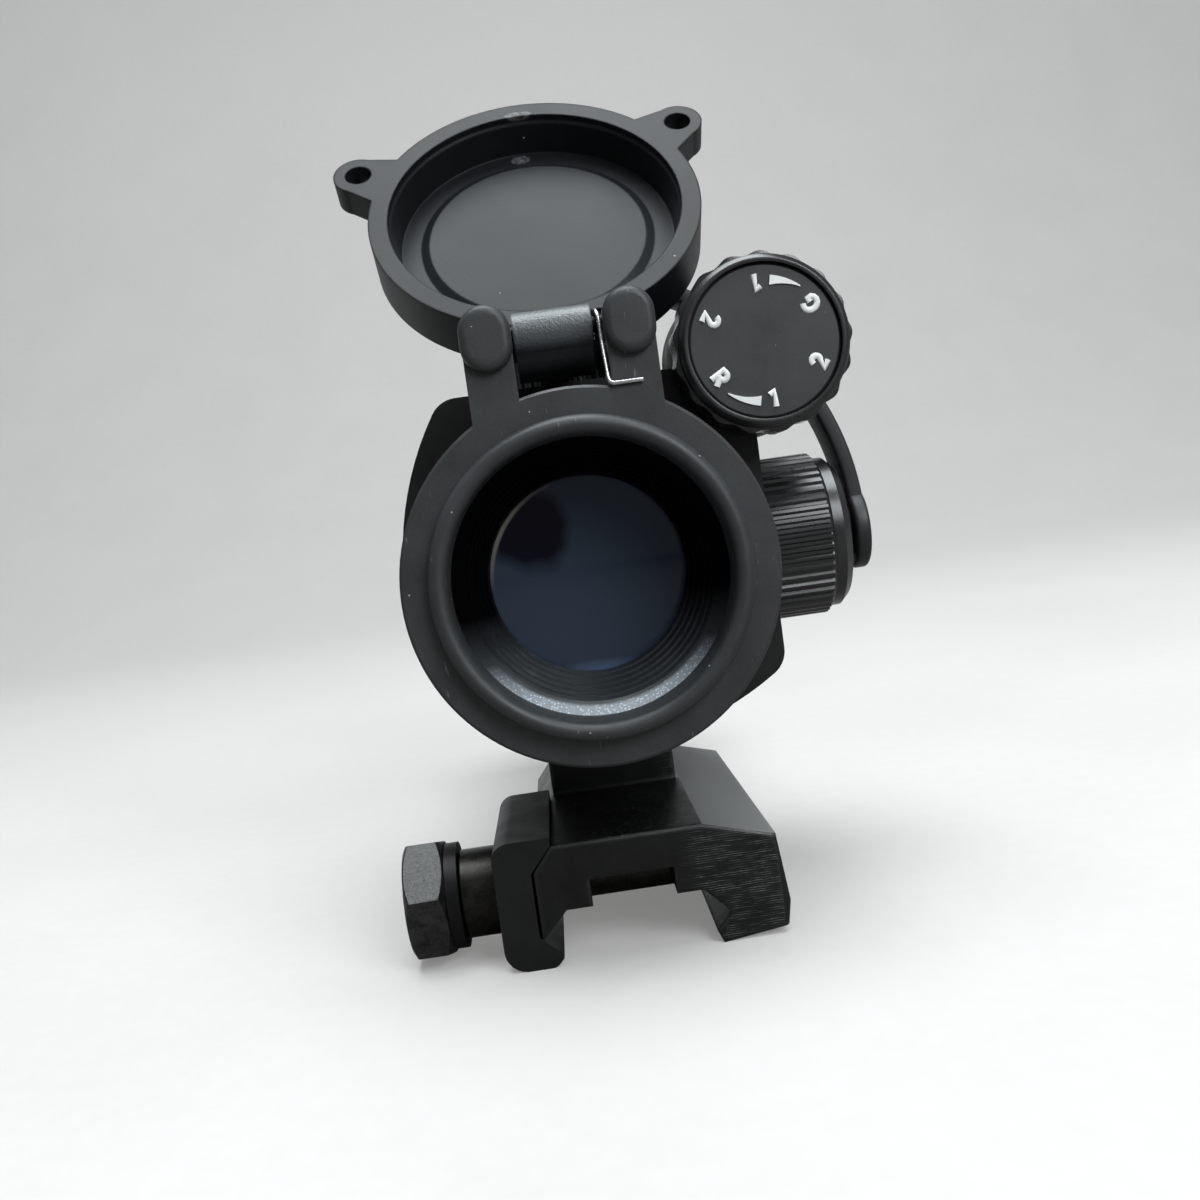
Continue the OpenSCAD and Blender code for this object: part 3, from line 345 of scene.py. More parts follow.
def dial_satin():
    """Satin dial with fine specks."""
    low = (0.028, 0.03, 0.03)
    high = (0.04, 0.042, 0.042)
    made, tree, shader, place, colour = finish_of(
        "dial_satin", low, high, rough=0.4, spread=0.06, grain=0.2, depth=0.004
    )
    dusty(tree, shader, place, colour, size=2.0, radius=0.05, share=0.12, pale=(0.2, 0.2, 0.2))
    return made


def mark_paint():
    """White paint of the raised marks."""
    low = (0.88, 0.88, 0.88)
    high = (0.98, 0.98, 0.97)
    return plain_finish("mark_paint", low, high, rough=0.5, blob=1.2, grain=0.12, depth=0.03)


def strap_rubber():
    """Matte black rubber."""
    low = (0.014, 0.015, 0.016)
    high = (0.022, 0.023, 0.025)
    return plain_finish("strap_rubber", low, high, rough=0.46, grain=0.3, depth=0.01)


def spring_steel():
    """Bright drawn wire."""
    low = (0.66, 0.66, 0.66)
    high = (0.82, 0.82, 0.82)
    return plain_finish(
        "spring_steel", low, high, rough=0.24, blob=1.5, grain=0.1, depth=0.004, metal=1.0
    )


def worn_steel():
    """Blackened steel worn to grey."""
    low = (0.025, 0.025, 0.0245)
    high = (0.08, 0.08, 0.08)
    return plain_finish(
        "worn_steel", low, high, rough=0.36, spread=0.1, blob=2.2, grain=0.3, depth=0.014, metal=0.8
    )


def oiled_steel():
    """Dark brown oiled steel of the collar and the bolt."""
    low = (0.008, 0.0075, 0.006)
    high = (0.028, 0.026, 0.022)
    return plain_finish("oiled_steel", low, high, rough=0.3, blob=2.0, grain=0.3, depth=0.01, metal=0.7)


def black_steel():
    """Blackened steel screws and washer."""
    low = (0.004, 0.004, 0.004)
    high = (0.01, 0.01, 0.01)
    return plain_finish("black_steel", low, high, rough=0.42, depth=0.006, metal=0.3, specular=0.3)


def brass():
    """Plain turned brass."""
    low = (0.5, 0.35, 0.12)
    high = (0.7, 0.52, 0.22)
    return plain_finish("brass", low, high, rough=0.3, blob=2.0, depth=0.005, metal=1.0)


def board():
    """Green circuit board."""
    low = (0.01, 0.06, 0.03)
    high = (0.02, 0.1, 0.05)
    return plain_finish("board", low, high, rough=0.4, blob=1.5, depth=0.01)


def cell_steel():
    """Nickel plated battery can."""
    low = (0.5, 0.5, 0.5)
    high = (0.66, 0.66, 0.65)
    return plain_finish("cell_steel", low, high, rough=0.25, blob=3.0, depth=0.003, metal=1.0)


def seal_rubber():
    """Soft black seals."""
    low = (0.01, 0.01, 0.01)
    high = (0.02, 0.02, 0.02)
    return plain_finish("seal_rubber", low, high, rough=0.6, depth=0.01)


# Rear lens ring: heights from the tube's axis where its painted shade turns to painted light and where
# its painted glint starts, and the radii between which its outer chamfer starts
RING_PAINTED_SHADE_TO_LIGHT = (-3.0, -10.0)
RING_PAINTED_GLINT = (-8.0, -12.5)
RING_CHAMFER = (13.9, 14.2)


def ridged_ring():
    """Lens ring: painted shade above the axis, painted light lower down, and a painted glint low on its
    outer chamfer.
    """
    low = (0.02, 0.024, 0.028)
    high = (0.04, 0.047, 0.053)
    made, tree, shader, place, colour = finish_of(
        "ridged_ring", low, high, rough=0.36, grain=0.16, depth=0.03
    )
    height = add(tree, "ShaderNodeSeparateXYZ", Vector=place).outputs["Z"]
    painted_lit_below = remap(tree, height, AXIS_H + RING_PAINTED_SHADE_TO_LIGHT[0], AXIS_H + RING_PAINTED_SHADE_TO_LIGHT[1])
    chamfer = remap(tree, across(tree, place, (0.0, 0.0)), *RING_CHAMFER)
    painted_glint_low = remap(tree, height, AXIS_H + RING_PAINTED_GLINT[0], AXIS_H + RING_PAINTED_GLINT[1])
    sparkle = dots(tree, place, size=0.26, radius=0.5, share=0.6)
    glint_grains = between(tree, sparkle, 0.45, 1.0)
    painted_glint = maths(tree, "MULTIPLY", glint_grains, maths(tree, "MULTIPLY", chamfer, painted_glint_low))
    # Near black up top as painted shade, and the finish lower down as painted light
    lit = tint(tree, painted_lit_below, (0.001, 0.001, 0.0012), colour)
    # Pale blue-white grains low on the chamfer are a painted glint
    tree.links.new(tint(tree, painted_glint, lit, (0.66, 0.74, 0.82)), shader.inputs["Base Color"])
    tree.links.new(between(tree, painted_lit_below, 0.03, 0.6), shader.inputs["Specular IOR Level"])
    return made


# Mount base: ranges of a face's direction that tell its rear face, its slope and its top apart, the
# agreement of true and softened direction on flat faces, and where its tool lines start
REAR_FACING_Y = (-0.95, -0.8)
SLOPE_FACING_X = (0.1, 0.18)
SLOPE_FACING_Z = (0.2, 0.4)
TOP_FACING_Z = (0.97, 0.99)
FLAT_AGREEMENT = (0.9, 0.99)
TOOL_LINES_X = (5.0, 8.0)
MOUNT_EDGE = 0.9


def tool_lines(tree, place):
    """Broken level lines left by a cutter."""
    level = {"bands_direction": "Z"}
    wave = add(tree, "ShaderNodeTexWave", level, Vector=place, Scale=1.2, Distortion=2.5, Detail=3.0)
    patchy = noise(tree, stretched(tree, place, (0.6, 1.0, 3.0)), size=1.2, detail=2.0)
    gaps = remap(tree, patchy, 0.4, 0.65, 0.15, 1.0)
    return maths(tree, "MULTIPLY", wave.outputs["Fac"], gaps)


def flatness(tree, soft, normal):
    """1 on flat faces, and 0 on edges, where the softened direction leaves the true one."""
    along = add(tree, "ShaderNodeVectorMath", {"operation": "DOT_PRODUCT"}, Vector=soft)
    tree.links.new(normal, along.inputs[1])
    return remap(tree, along.outputs["Value"], *FLAT_AGREEMENT)


def machined():
    """Mount base: black paint, a slope painted plain grey as painted light, specks on top and tool
    lines on its rear face.
    """
    low = (0.004, 0.004, 0.004)
    high = (0.008, 0.008, 0.008)
    made, tree, shader, place, colour = finish_of(
        "machined", low, high, rough=0.36, blob=3.0, grain=0.4, depth=0.02
    )
    normal = add(tree, "ShaderNodeNewGeometry").outputs["True Normal"]
    soft = soft_edges(tree, MOUNT_EDGE)
    flat = flatness(tree, soft, normal)
    facing = add(tree, "ShaderNodeSeparateXYZ", Vector=normal)
    rear = remap(tree, facing.outputs["Y"], *REAR_FACING_Y, 1.0, 0.0)
    side = add(tree, "ShaderNodeSeparateXYZ", Vector=place).outputs["X"]
    right = remap(tree, side, *TOOL_LINES_X)
    lined = maths(tree, "MULTIPLY", flat, maths(tree, "MULTIPLY", rear, right))
    lines = maths(tree, "MULTIPLY", tool_lines(tree, place), lined)
    slope = remap(tree, facing.outputs["X"], *SLOPE_FACING_X)
    raised = remap(tree, facing.outputs["Z"], *SLOPE_FACING_Z)
    # The upward slope is painted plain grey: painted light where the lamps fall on it
    grey = maths(tree, "MULTIPLY", slope, raised)
    upward = remap(tree, facing.outputs["Z"], *TOP_FACING_Z, 0.0, 0.7)
    specks = maths(tree, "MULTIPLY", dots(tree, place, size=0.5, radius=0.4, share=0.35), upward)
    tone = maths(tree, "ADD", maths(tree, "MULTIPLY", lines, 0.5), specks)
    with_painted_lit_slope = tint(tree, grey, colour, (0.24, 0.246, 0.24))
    tree.links.new(tint(tree, tone, with_painted_lit_slope, (0.09, 0.09, 0.09)), shader.inputs["Base Color"])
    change = between(tree, grey, 0.3, 0.05)
    uneven = maths(tree, "MULTIPLY", noise(tree, place, size=3.0), change)
    gloss = maths(tree, "ADD", uneven, between(tree, grey, 0.2, 0.5))
    tree.links.new(gloss, shader.inputs["Roughness"])
    tree.links.new(between(tree, flat, 0.9, 0.32), shader.inputs["Specular IOR Level"])
    rise = between(tree, grey, 0.3, 0.0)
    grain = maths(tree, "MULTIPLY", noise(tree, place, size=0.4), rise)
    relief(tree, shader, maths(tree, "ADD", lines, grain), depth=0.05, normal=soft)
    return made


# Places of the painted reflections and highlights on the rear lens, right of and above its axis, and
# the radii between which its painted rim highlight starts
LENS_SHADE = (-6.0, 5.5)
LENS_PAINTED_HIGHLIGHT = (0.0, -11.6)
LENS_RIM_MIDDLE = (0.6, -0.4)
LENS_RIM_LIT = (-9.0, 7.0)
LENS_RIM = (11.35, 11.6)


def coated_glass():
    """Lens glass: painted reflections in coating tints, dark purple up left and blue-grey to the lower
    right, with painted highlights low down and on a pale rim.
    """
    made, tree, shader = start_material("coated_glass")
    place = spot(tree)
    # The split between dark purple and blue-grey is a painted reflection in the coating's tints
    waves = maths(tree, "MULTIPLY", noise(tree, place, size=5.0, detail=1.0), 4.0)
    painted_reflection_split = maths(tree, "ADD", across(tree, place, LENS_SHADE, high=1.2), waves)
    share = remap(tree, painted_reflection_split, 6.0, 8.0)
    colour = tint(tree, share, (0.002, 0.001, 0.012), (0.052, 0.072, 0.112))
    # A pale blue patch low on the lens is a painted highlight
    painted_highlight = remap(tree, across(tree, place, LENS_PAINTED_HIGHLIGHT, wide=0.22), 0.3, 1.7, 0.8, 0.0)
    # A pale rim, strongest on its lit side, is a painted highlight
    edge = remap(tree, across(tree, place, LENS_RIM_MIDDLE), *LENS_RIM)
    lit = remap(tree, across(tree, place, LENS_RIM_LIT), 2.0, 8.0, 0.7, 0.0)
    rim = maths(tree, "MULTIPLY", edge, lit)
    with_painted_highlight = tint(tree, painted_highlight, colour, (0.16, 0.24, 0.4))
    tree.links.new(tint(tree, rim, with_painted_highlight, (0.5, 0.48, 0.42)), shader.inputs["Base Color"])
    shader.inputs["Specular IOR Level"].default_value = 0.1
    gloss = remap(tree, noise(tree, place, size=3.0), *GLOSS_RANGE, 0.03, 0.07)
    tree.links.new(gloss, shader.inputs["Roughness"])
    shader.inputs["Transmission Weight"].default_value = 0.25
    shader.inputs["IOR"].default_value = 1.5
    return made


PAINT = {
    "black_anodised": anodised(),
    "cover_rubber": bezel_rubber(),
    "cover_plastic": cover_plastic(),
    "knob_gloss": knob_gloss(),
    "dial_satin": dial_satin(),
    "strap_rubber": strap_rubber(),
    "seal_rubber": seal_rubber(),
    "spring_steel": spring_steel(),
    "worn_steel": worn_steel(),
    "black_steel": black_steel(),
    "coated_glass": coated_glass(),
    "brass": brass(),
    "board": board(),
    "cell_steel": cell_steel(),
}
MARKS = mark_paint()
CAP_PAINT = ridged_cap()
BOLT_PAINT = oiled_steel()
SPECIAL = {
    "rear_lens_ring": ridged_ring(),
    "mount_base": machined(),
    "windage_cap": CAP_PAINT,
    "elevation_cap": CAP_PAINT,
    "clamp_collar": BOLT_PAINT,
    "clamp_bolt": BOLT_PAINT,
    "rear_hinge_pin": PAINT["black_steel"],
    "front_hinge_pin": PAINT["black_steel"],
}

# Edge rounding in millimetres, for nodes whose edges show it
EDGES = {
    "rear_cover_ring": 0.2,
    "front_cover_ring": 0.2,
    "brightness_knob": 0.15,
    "mount_base": 0.35,
    "clamp_jaw": 0.4,
    "tube_body": 0.4,
    "clamp_nut": 0.15,
    "clamp_collar": 0.3,
    "mount_ring_cap": 0.3,
}
EDGE_SEGMENTS = 2
EDGE_ANGLE_DEG = 30
FACE_WEIGHT = 80
WELD_M = 1e-6


def dress_nodes():
    """Paint on every CAD node, and rounded edges where they show."""
    slots = {row["node"]: row["material_slot"] for row in frame["record"]["subparts"]}
    for name, obj in nodes.items():
        obj.data.materials.clear()
        obj.data.materials.append(SPECIAL.get(name) or PAINT[slots[name]])
        if name in EDGES:
            weld = obj.modifiers.new("weld", "WELD")
            weld.merge_threshold = WELD_M
            bevel = obj.modifiers.new("bevel", "BEVEL")
            bevel.width = EDGES[name] * MM
            bevel.segments = EDGE_SEGMENTS
            bevel.limit_method = "ANGLE"
            bevel.angle_limit = math.radians(EDGE_ANGLE_DEG)
            shading = obj.modifiers.new("shading", "WEIGHTED_NORMAL")
            shading.weight = FACE_WEIGHT


dress_nodes()


# Pieces made here
ROUND_STEPS = 4


def link_piece(name, data, body, paint):
    """A piece that rides on a body and takes a finish."""
    obj = bpy.data.objects.new(name, data)
    bpy.context.scene.collection.objects.link(obj)
    data.materials.append(paint)
    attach(obj, body)
    return obj


def mesh_of(name, verts, faces):
    """A smooth mesh from points in millimetres."""
    data = bpy.data.meshes.new(name)
    data.from_pydata([Vector(v) * MM for v in verts], [], faces)
    for face in data.polygons:
        face.use_smooth = True
    return data


def wire_piece(name, points, radius, body):
    """A round wire along points in millimetres that rides on a body."""
    data = bpy.data.curves.new(name, "CURVE")
    data.dimensions = "3D"
    data.bevel_depth = radius * MM
    data.bevel_resolution = ROUND_STEPS
    data.use_fill_caps = True
    spline = data.splines.new("POLY")
    spline.points.add(len(points) - 1)
    for knot, point in zip(spline.points, points):
        knot.co = (*(Vector(point) * MM), 1.0)
    spline.use_smooth = True
    return link_piece(name, data, body, PAINT["spring_steel"])


# Hinge springs, in the covers' frame measured from the hinge axis
WIRE_R = 0.26
COIL_R = 1.4
COIL_ROOM = 1.4
COIL_START = 2.0
COIL_END = 4.56
TAB_ANGLE = 124.0
LEG_IN = 1.2
LEG_DROP = 7.0
LEG_FOOT = 3.5
LEG_TOP = (-2.4, 2.0)
COIL_TURNS = 2
COIL_STEPS = 64
FOOT_GAP = 0.05
FOOT_Z = HINGE_BACK + WIRE_R + FOOT_GAP
# Points of the round bend between leg and foot, from the corner it rounds
LEG_BEND = ((0.0, 0.5, -0.25), (0.12, 0.14, -0.05), (0.45, 0.0, 0.0))


def hinge_path(turn):
    """Two paths for a cover open by turn degrees: the end in the cover, and the coil with its foot."""
    start = TAB_ANGLE + 90.0 - turn
    end = 90.0 + 360.0 * COIL_TURNS
    coil = []
    for i in range(COIL_STEPS + 1):
        angle = math.radians(start + (end - start) * i / COIL_STEPS)
        x = COIL_START + (COIL_END - COIL_START) * i / COIL_STEPS
        coil.append(Vector((x, COIL_R * math.cos(angle), COIL_R * math.sin(angle))))
    tucked = [Vector((x, coil[0].y, coil[0].z)) for x in (COIL_ROOM - LEG_IN, COIL_ROOM, COIL_START)]
    leg = [(COIL_END, *LEG_TOP)]
    leg += [(COIL_END + x, y - LEG_DROP, FOOT_Z + z) for x, y, z in LEG_BEND]
    leg.append((COIL_END + LEG_FOOT, -LEG_DROP, FOOT_Z))
    return tucked, coil + [Vector(p) for p in leg]


def rear_place(point):
    """From the rear cover's frame to the part's frame."""
    return Vector((point[0], REAR_FACE_Y - point[2] + HINGE_BACK, AXIS_H + HINGE_H + point[1]))


def front_place(point):
    """From the front cover's frame to the part's frame."""
    return Vector((-point[0], FRONT_FACE_Y + point[2] - HINGE_BACK, AXIS_H + HINGE_H + point[1]))


def hinge_spring(end, turn, place):
    """A hinge spring whose coil stands on the ring, while its end in the cover turns with the cover."""
    tucked, coil = hinge_path(turn)
    standing = wire_piece(f"{end}_cover_spring", [place(p) for p in coil], WIRE_R, "sight")
    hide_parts(f"{end}_hinge_spring")
    wire_piece(f"{end}_spring_end", [place(p) for p in tucked], WIRE_R, f"{end}_cover")


hinge_spring("rear", OPEN_DEG, rear_place)
hinge_spring("front", 0.0, front_place)


# Coil springs inside the switch housing, along the knob's axis
KNOB_OFF = 23.0
TURN_STEPS = 24
CLICK_R = 0.68
CLICK_FROM_Y = -12.85
CLICK_TO_Y = -11.86
CLICK_TURNS = 1.5
CLICK_OFF = 6.3
CLICK_WIRE_R = 0.12
CONTACT_WIDE_R = 5.6
CONTACT_NARROW_R = 2.67
CONTACT_FROM_Y = -10.05
CONTACT_TO_Y = -9.55
CONTACT_TURNS = 3
CONTACT_WIRE_R = 0.21


def coil_path(low_r, high_r, from_y, to_y, turns, off):
    """A coil along the knob's axis, beside it by off."""
    steps = int(TURN_STEPS * turns)
    path = []
    for i in range(steps + 1):
        share = i / steps
        angle = 2 * math.pi * turns * share
        radius = low_r + (high_r - low_r) * share
        x = KNOB_OFF + off + radius * math.cos(angle)
        z = AXIS_H + KNOB_OFF - radius * math.sin(angle)
        path.append(Vector((x, from_y + (to_y - from_y) * share, z)))
    return path


click_path = coil_path(CLICK_R, CLICK_R, CLICK_FROM_Y, CLICK_TO_Y, CLICK_TURNS, CLICK_OFF)
click_spring = wire_piece("click_spring", click_path, CLICK_WIRE_R, "sight")
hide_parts("detent_spring")
contact_path = coil_path(
    CONTACT_WIDE_R, CONTACT_NARROW_R, CONTACT_FROM_Y, CONTACT_TO_Y, CONTACT_TURNS, 0.0
)
contact_spring = wire_piece("contact_spring", contact_path, CONTACT_WIRE_R, "sight")
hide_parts("battery_spring")

# Strap between the caps, in the plane of both cap axes
TURRET_Y = 5.0
STRAP_MID = 36.7
STRAP_T = 2.0
STRAP_W = 6.6
STRAP_BEND = 35.0
STRAP_EDGE = 0.5
EYELET_R = 5.4
EYELET_HOLE = 2.25
SCREW_ROOM_R = 3.6
SCREW_ROOM_D = 1.0
SCREW_ROOM_WALL = 0.4
CORNER_STEPS = 4
ROUTE_STEPS = 40
EYELET_STEPS = 64


def rounded(width, height, edge):
    """Outline of a rectangle with rounded corners, round its middle."""
    corners = ((1, 1, 0), (-1, 1, 90), (-1, -1, 180), (1, -1, 270))
    outline = []
    for sx, sy, first in corners:
        for i in range(CORNER_STEPS + 1):
            angle = math.radians(first + 90 * i / CORNER_STEPS)
            x = sx * (width / 2 - edge) + edge * math.cos(angle)
            y = sy * (height / 2 - edge) + edge * math.sin(angle)
            outline.append((x, y))
    return outline


def strap_route():
    """Points and outward directions along the strap, from one eyelet to the other."""
    bend = STRAP_MID - STRAP_BEND
    first = math.asin((SCREW_ROOM_R + SCREW_ROOM_WALL - bend) / STRAP_BEND)
    route = []
    for i in range(ROUTE_STEPS + 1):
        angle = first + (math.pi / 2 - 2 * first) * i / ROUTE_STEPS
        out = (math.cos(angle), math.sin(angle))
        route.append(((bend + STRAP_BEND * out[0], bend + STRAP_BEND * out[1]), out))
    return route


def eyelet_section():
    """Half section of an eyelet, distance from its axis and height, with room for the screw head."""
    half = STRAP_T / 2
    section = [(EYELET_HOLE, -half)]
    for side, first in ((-1, 270), (1, 0)):
        for i in range(CORNER_STEPS + 1):
            angle = math.radians(first + 90 * i / CORNER_STEPS)
            r = EYELET_R - STRAP_EDGE + STRAP_EDGE * math.cos(angle)
            t = side * (half - STRAP_EDGE) + STRAP_EDGE * math.sin(angle)
            section.append((r, t))
    floor = half - SCREW_ROOM_D
    return section + [(SCREW_ROOM_R, half), (SCREW_ROOM_R, floor), (EYELET_HOLE, floor)]


def ring_faces(rows, count, closed):
    """Quads between rows of points; closed joins the last row to the first."""
    faces = []
    for r in range(rows if closed else rows - 1):
        for k in range(count):
            after = (r + 1) % rows
            step = (k + 1) % count
            faces.append((r * count + k, r * count + step, after * count + step, after * count + k))
    return faces


def strap_piece():
    """The rubber strap with an eyelet at each end."""
    verts = []
    faces = []
    section = rounded(STRAP_T, STRAP_W, STRAP_EDGE)
    route = strap_route()
    for (x, z), out in route:
        verts += [(x + t * out[0], TURRET_Y + w, AXIS_H + z + t * out[1]) for t, w in section]
    faces += ring_faces(len(route), len(section), False)
    section = eyelet_section()
    for upright in (False, True):
        base = len(verts)
        for i in range(EYELET_STEPS):
            angle = 2 * math.pi * i / EYELET_STEPS
            for r, t in section:
                sideways = r * math.cos(angle)
                along = TURRET_Y + r * math.sin(angle)
                out = STRAP_MID + t
                x, z = (sideways, out) if upright else (out, sideways)
                verts.append((x, along, AXIS_H + z))
        rings = ring_faces(EYELET_STEPS, len(section), True)
        faces += [tuple(base + k for k in face) for face in rings]
    data = mesh_of("strap", verts, faces)
    obj = link_piece("strap", data, "sight", PAINT["strap_rubber"])
    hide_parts("cap_strap")


strap_piece()

# Rear lens: a smooth bulging disc
LENS_R = 15.7
LENS_SEAT_Y = -14.25
LENS_T = 2.35
LENS_BULGE = 0.9
LENS_ROWS = 16
LENS_STEPS = 96


def lens_piece():
    """The rear lens, finely rounded."""
    rows = LENS_ROWS
    turns = LENS_STEPS
    verts = [(0.0, LENS_SEAT_Y - LENS_T - LENS_BULGE, AXIS_H)]
    profile = []
    for i in range(1, rows + 1):
        share = i / rows
        profile.append((LENS_R * share, LENS_SEAT_Y - LENS_T - LENS_BULGE * (1 - share * share)))
    profile.append((LENS_R, LENS_SEAT_Y))
    for r, y in profile:
        for k in range(turns):
            angle = 2 * math.pi * k / turns
            verts.append((r * math.cos(angle), y, AXIS_H + r * math.sin(angle)))
    faces = [(0, 1 + (k + 1) % turns, 1 + k) for k in range(turns)]
    faces += [tuple(1 + v for v in face) for face in ring_faces(len(profile), turns, False)]
    faces.append(tuple(range(len(verts) - turns, len(verts))))
    data = mesh_of("rear_lens_glass", verts, faces)
    obj = link_piece("rear_lens_glass", data, "sight", PAINT["coated_glass"])
    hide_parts("rear_lens")


lens_piece()

# Dial marks: raised white strokes, their tops towards the middle, and two wedges
DIAL_Y = -20.5
MARK_R = 6.5
MARK_RISE = 0.2
MARK_SINK = 0.02
STROKE_R = 0.36
FIRST_MARK = 31.7
LETTERS = "G12R12"
MARK_STEP = 360 / len(LETTERS)
WEDGES = ((49.4, 78.5), (227.0, 258.7))
WEDGE_R = 7.2
WEDGE_THIN = 0.12
WEDGE_THICK = 1.1
WEDGE_STEPS = 12


def arc(x, y, wide, high, first, last, steps=10):
    """Points on a part of an ellipse."""
    points = []
    for i in range(steps + 1):
        angle = math.radians(first + (last - first) * i / steps)
        points.append((x + wide * math.cos(angle), y + high * math.sin(angle)))
    return points


# Strokes of each letter, in millimetres round its middle
STROKES = {
    "1": [[(-0.42, 0.5), (0.12, 0.88), (0.12, -0.88)]],
    "2": [arc(0.0, 0.36, 0.5, 0.5, 165, -35) + [(-0.5, -0.85), (0.55, -0.85)]],
    "R": [
        [(-0.45, -0.88), (-0.45, 0.88)] + arc(0.05, 0.42, 0.45, 0.46, 90, -90) + [(-0.4, -0.04)],
        [(0.0, -0.04), (0.5, -0.88)],
    ],
    "G": [arc(0.0, 0.0, 0.72, 0.85, 50, 320) + [(0.62, -0.1), (0.12, -0.1)]],
}


def letter_piece(order, letter):
    """One raised letter of rounded strokes."""
    line = bpy.data.curves.new("letter", "CURVE")
    line.dimensions = "3D"
    line.bevel_depth = STROKE_R * MM
    line.bevel_resolution = ROUND_STEPS
    line.use_fill_caps = True
    for stroke in STROKES[letter]:
        spline = line.splines.new("POLY")
        spline.points.add(len(stroke) - 1)
        for knot, (x, y) in zip(spline.points, stroke):
            knot.co = (x * MM, y * MM, 0.0, 1.0)
    maker = bpy.data.objects.new("letter", line)
    data = bpy.data.meshes.new_from_object(maker)
    bpy.data.objects.remove(maker)
    angle = math.radians(FIRST_MARK + MARK_STEP * order)
    out = Vector((math.cos(angle), 0.0, math.sin(angle)))
    up = -out
    face = Vector((0.0, -1.0, 0.0))
    at = Vector((KNOB_OFF, DIAL_Y, AXIS_H + KNOB_OFF)) + MARK_R * out
    turn = Matrix((up.cross(face), up, face)).transposed().to_4x4()
    flat = Matrix.Diagonal((1.0, 1.0, MARK_RISE / STROKE_R, 1.0))
    data.transform(Matrix.Translation(at * MM) @ turn @ flat)
    data.materials.clear()
    link_piece(f"dial_mark_{order}", data, "knob", MARKS)


def wedge_piece(order, thin, thick):
    """One raised wedge along the dial's edge, from its thin end to its thick end."""
    steps = WEDGE_STEPS
    verts = []
    for y in (DIAL_Y + MARK_SINK, DIAL_Y - MARK_RISE):
        for i in range(steps + 1):
            angle = math.radians(thin + (thick - thin) * i / steps)
            width = WEDGE_THIN + (WEDGE_THICK - WEDGE_THIN) * i / steps
            for radius in (WEDGE_R, WEDGE_R - width):
                x = KNOB_OFF + radius * math.cos(angle)
                verts.append((x, y, AXIS_H + KNOB_OFF + radius * math.sin(angle)))
    row = 2 * (steps + 1)
    faces = []
    for i in range(steps):
        a = 2 * i
        faces.append((row + a, row + a + 1, row + a + 3, row + a + 2))
        faces.append((a, a + 2, row + a + 2, row + a))
        faces.append((a + 1, row + a + 1, row + a + 3, a + 3))
    faces.append((0, row, row + 1, 1))
    faces.append((row - 2, row - 1, 2 * row - 1, 2 * row - 2))
    data = mesh_of(f"dial_wedge_{order}", verts, faces)
    for face in data.polygons:
        face.use_smooth = False
    link_piece(f"dial_wedge_{order}", data, "knob", MARKS)


for order, letter in enumerate(LETTERS):
    letter_piece(order, letter)
for order, (thin, thick) in enumerate(WEDGES):
    wedge_piece(order, thin, thick)


# Floor and backdrop, in metres
FLOOR_NEAR = -1.5
FLOOR_FAR = 0.55
FLOOR_SIDE = 2.5
SWEEP_R = 0.5
SWEEP_STEPS = 12
BACKDROP_H = 2.5
FLOOR_GLOW = 0.2
# Distance behind the part, in millimetres, over which the light thrown back by the floor grows
BOUNCE_FADE = (0.0, 300.0)


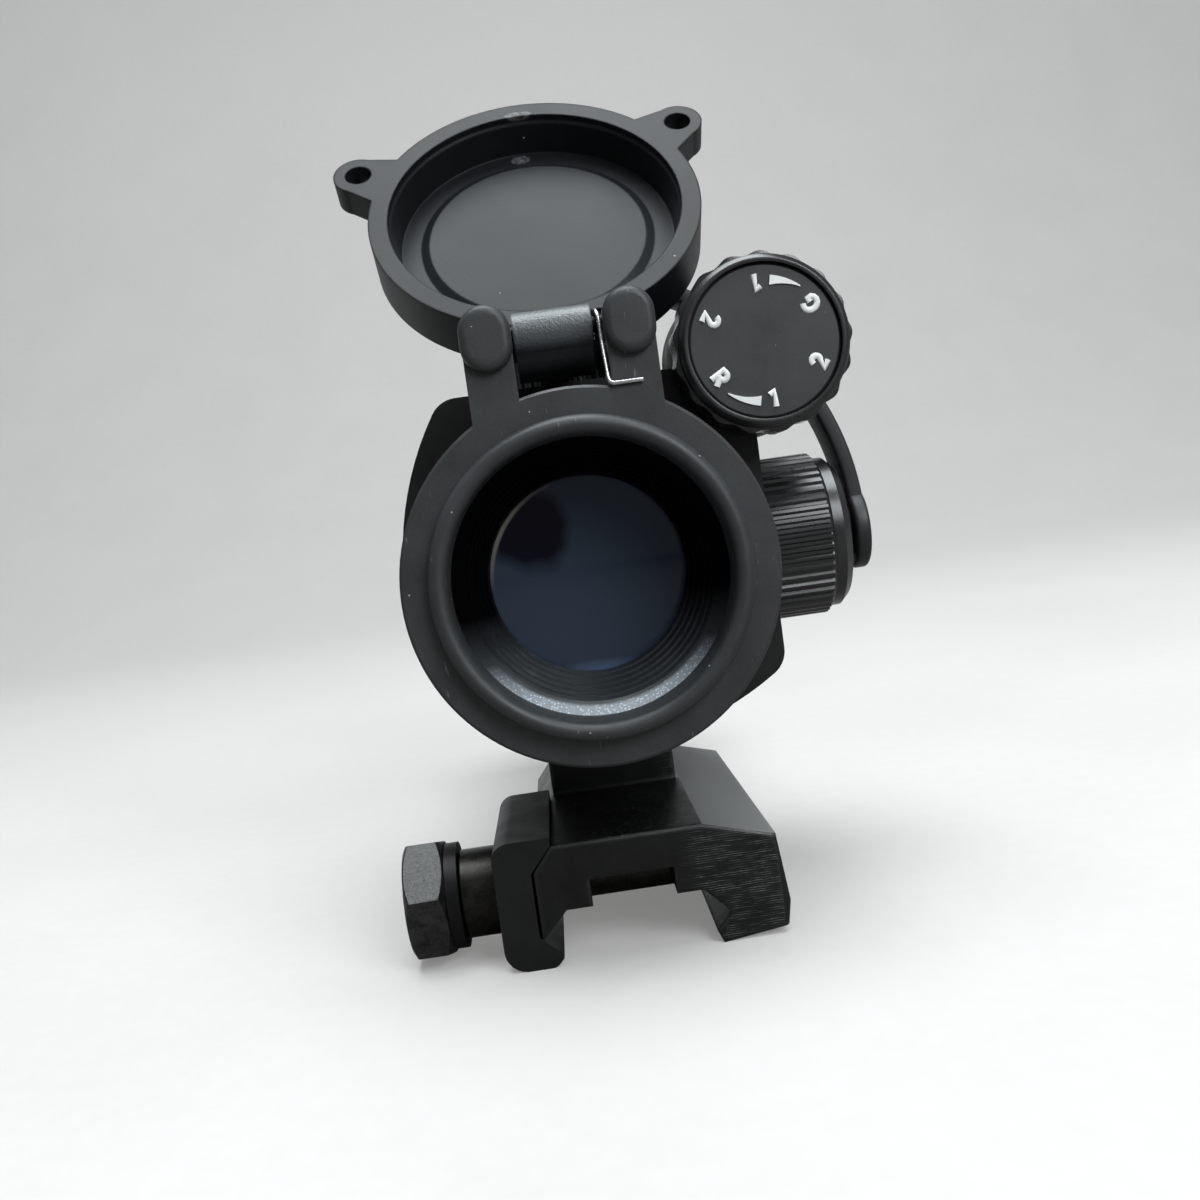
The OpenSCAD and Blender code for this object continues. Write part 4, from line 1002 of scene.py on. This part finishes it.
def add_stage():
    """A pale floor that curves up into a backdrop, and throws little light back near the part."""
    points = [(FLOOR_NEAR, 0.0), (FLOOR_FAR, 0.0)]
    for i in range(1, SWEEP_STEPS + 1):
        angle = math.radians(90.0 * i / SWEEP_STEPS)
        points.append((FLOOR_FAR + SWEEP_R * math.sin(angle), SWEEP_R - SWEEP_R * math.cos(angle)))
    points.append((FLOOR_FAR + SWEEP_R, BACKDROP_H))
    verts = [(x, y, z + FLOOR_Z * MM) for x in (-FLOOR_SIDE, FLOOR_SIDE) for y, z in points]
    count = len(points)
    faces = [(i, i + 1, count + i + 1, count + i) for i in range(count - 1)]
    data = bpy.data.meshes.new("floor")
    data.from_pydata(verts, [], faces)
    floor = bpy.data.objects.new("floor", data)
    bpy.context.scene.collection.objects.link(floor)
    for face in data.polygons:
        face.use_smooth = True
    low = (0.54, 0.525, 0.515)
    high = (0.57, 0.555, 0.545)
    made, tree, shader, place, colour = finish_of(
        "pale_floor", low, high, rough=0.6, blob=60.0, grain=3.0
    )
    seen = add(tree, "ShaderNodeLightPath").outputs["Is Camera Ray"]
    away = add(tree, "ShaderNodeSeparateXYZ", Vector=place).outputs["Y"]
    behind = remap(tree, away, *BOUNCE_FADE)
    bounce = tint(tree, behind, (0.16, 0.15, 0.14), (0.8, 0.79, 0.78))
    tree.links.new(tint(tree, seen, bounce, colour), shader.inputs["Base Color"])
    shader.inputs["Emission Color"].default_value = (1.0, 0.99, 0.98, 1.0)
    tree.links.new(maths(tree, "MULTIPLY", seen, FLOOR_GLOW), shader.inputs["Emission Strength"])
    data.materials.append(made)


# Lamps: places and sizes in metres, power in watts
LAMP_COLOUR = (0.93, 0.985, 1.0)
LAMP_AIM = (0.0, 0.0, 0.04)
CEILING_AT = (0.03, -0.08, 0.85)
CEILING_SIZE = 0.6
CEILING_WATTS = 8.2
FILL_AT = (0.4, -0.65, 0.5)
FILL_SIZE = 0.45
FILL_WATTS = 4.5
SKY_COLOUR = (0.92, 0.95, 1.0, 1.0)
SKY_STRENGTH = 0.24


def add_light(name, at, size, watts):
    """A soft, slightly cool square lamp that points at the part."""
    data = bpy.data.lights.new(name, "AREA")
    data.color = LAMP_COLOUR
    data.size = size
    data.energy = watts
    lamp = bpy.data.objects.new(name, data)
    bpy.context.scene.collection.objects.link(lamp)
    lamp.location = at
    lamp.rotation_euler = (Vector(LAMP_AIM) - Vector(at)).to_track_quat("-Z", "Y").to_euler()


def add_lights():
    """Soft light from the ceiling and a weak fill from the user's side."""
    add_light("ceiling", CEILING_AT, CEILING_SIZE, CEILING_WATTS)
    add_light("fill", FILL_AT, FILL_SIZE, FILL_WATTS)
    world = bpy.data.worlds.new("world")
    world.use_nodes = True
    sky = world.node_tree.nodes["Background"]
    sky.inputs["Color"].default_value = SKY_COLOUR
    sky.inputs["Strength"].default_value = SKY_STRENGTH
    bpy.context.scene.world = world
    bpy.context.scene.view_settings.view_transform = "Standard"


add_stage()
add_lights()
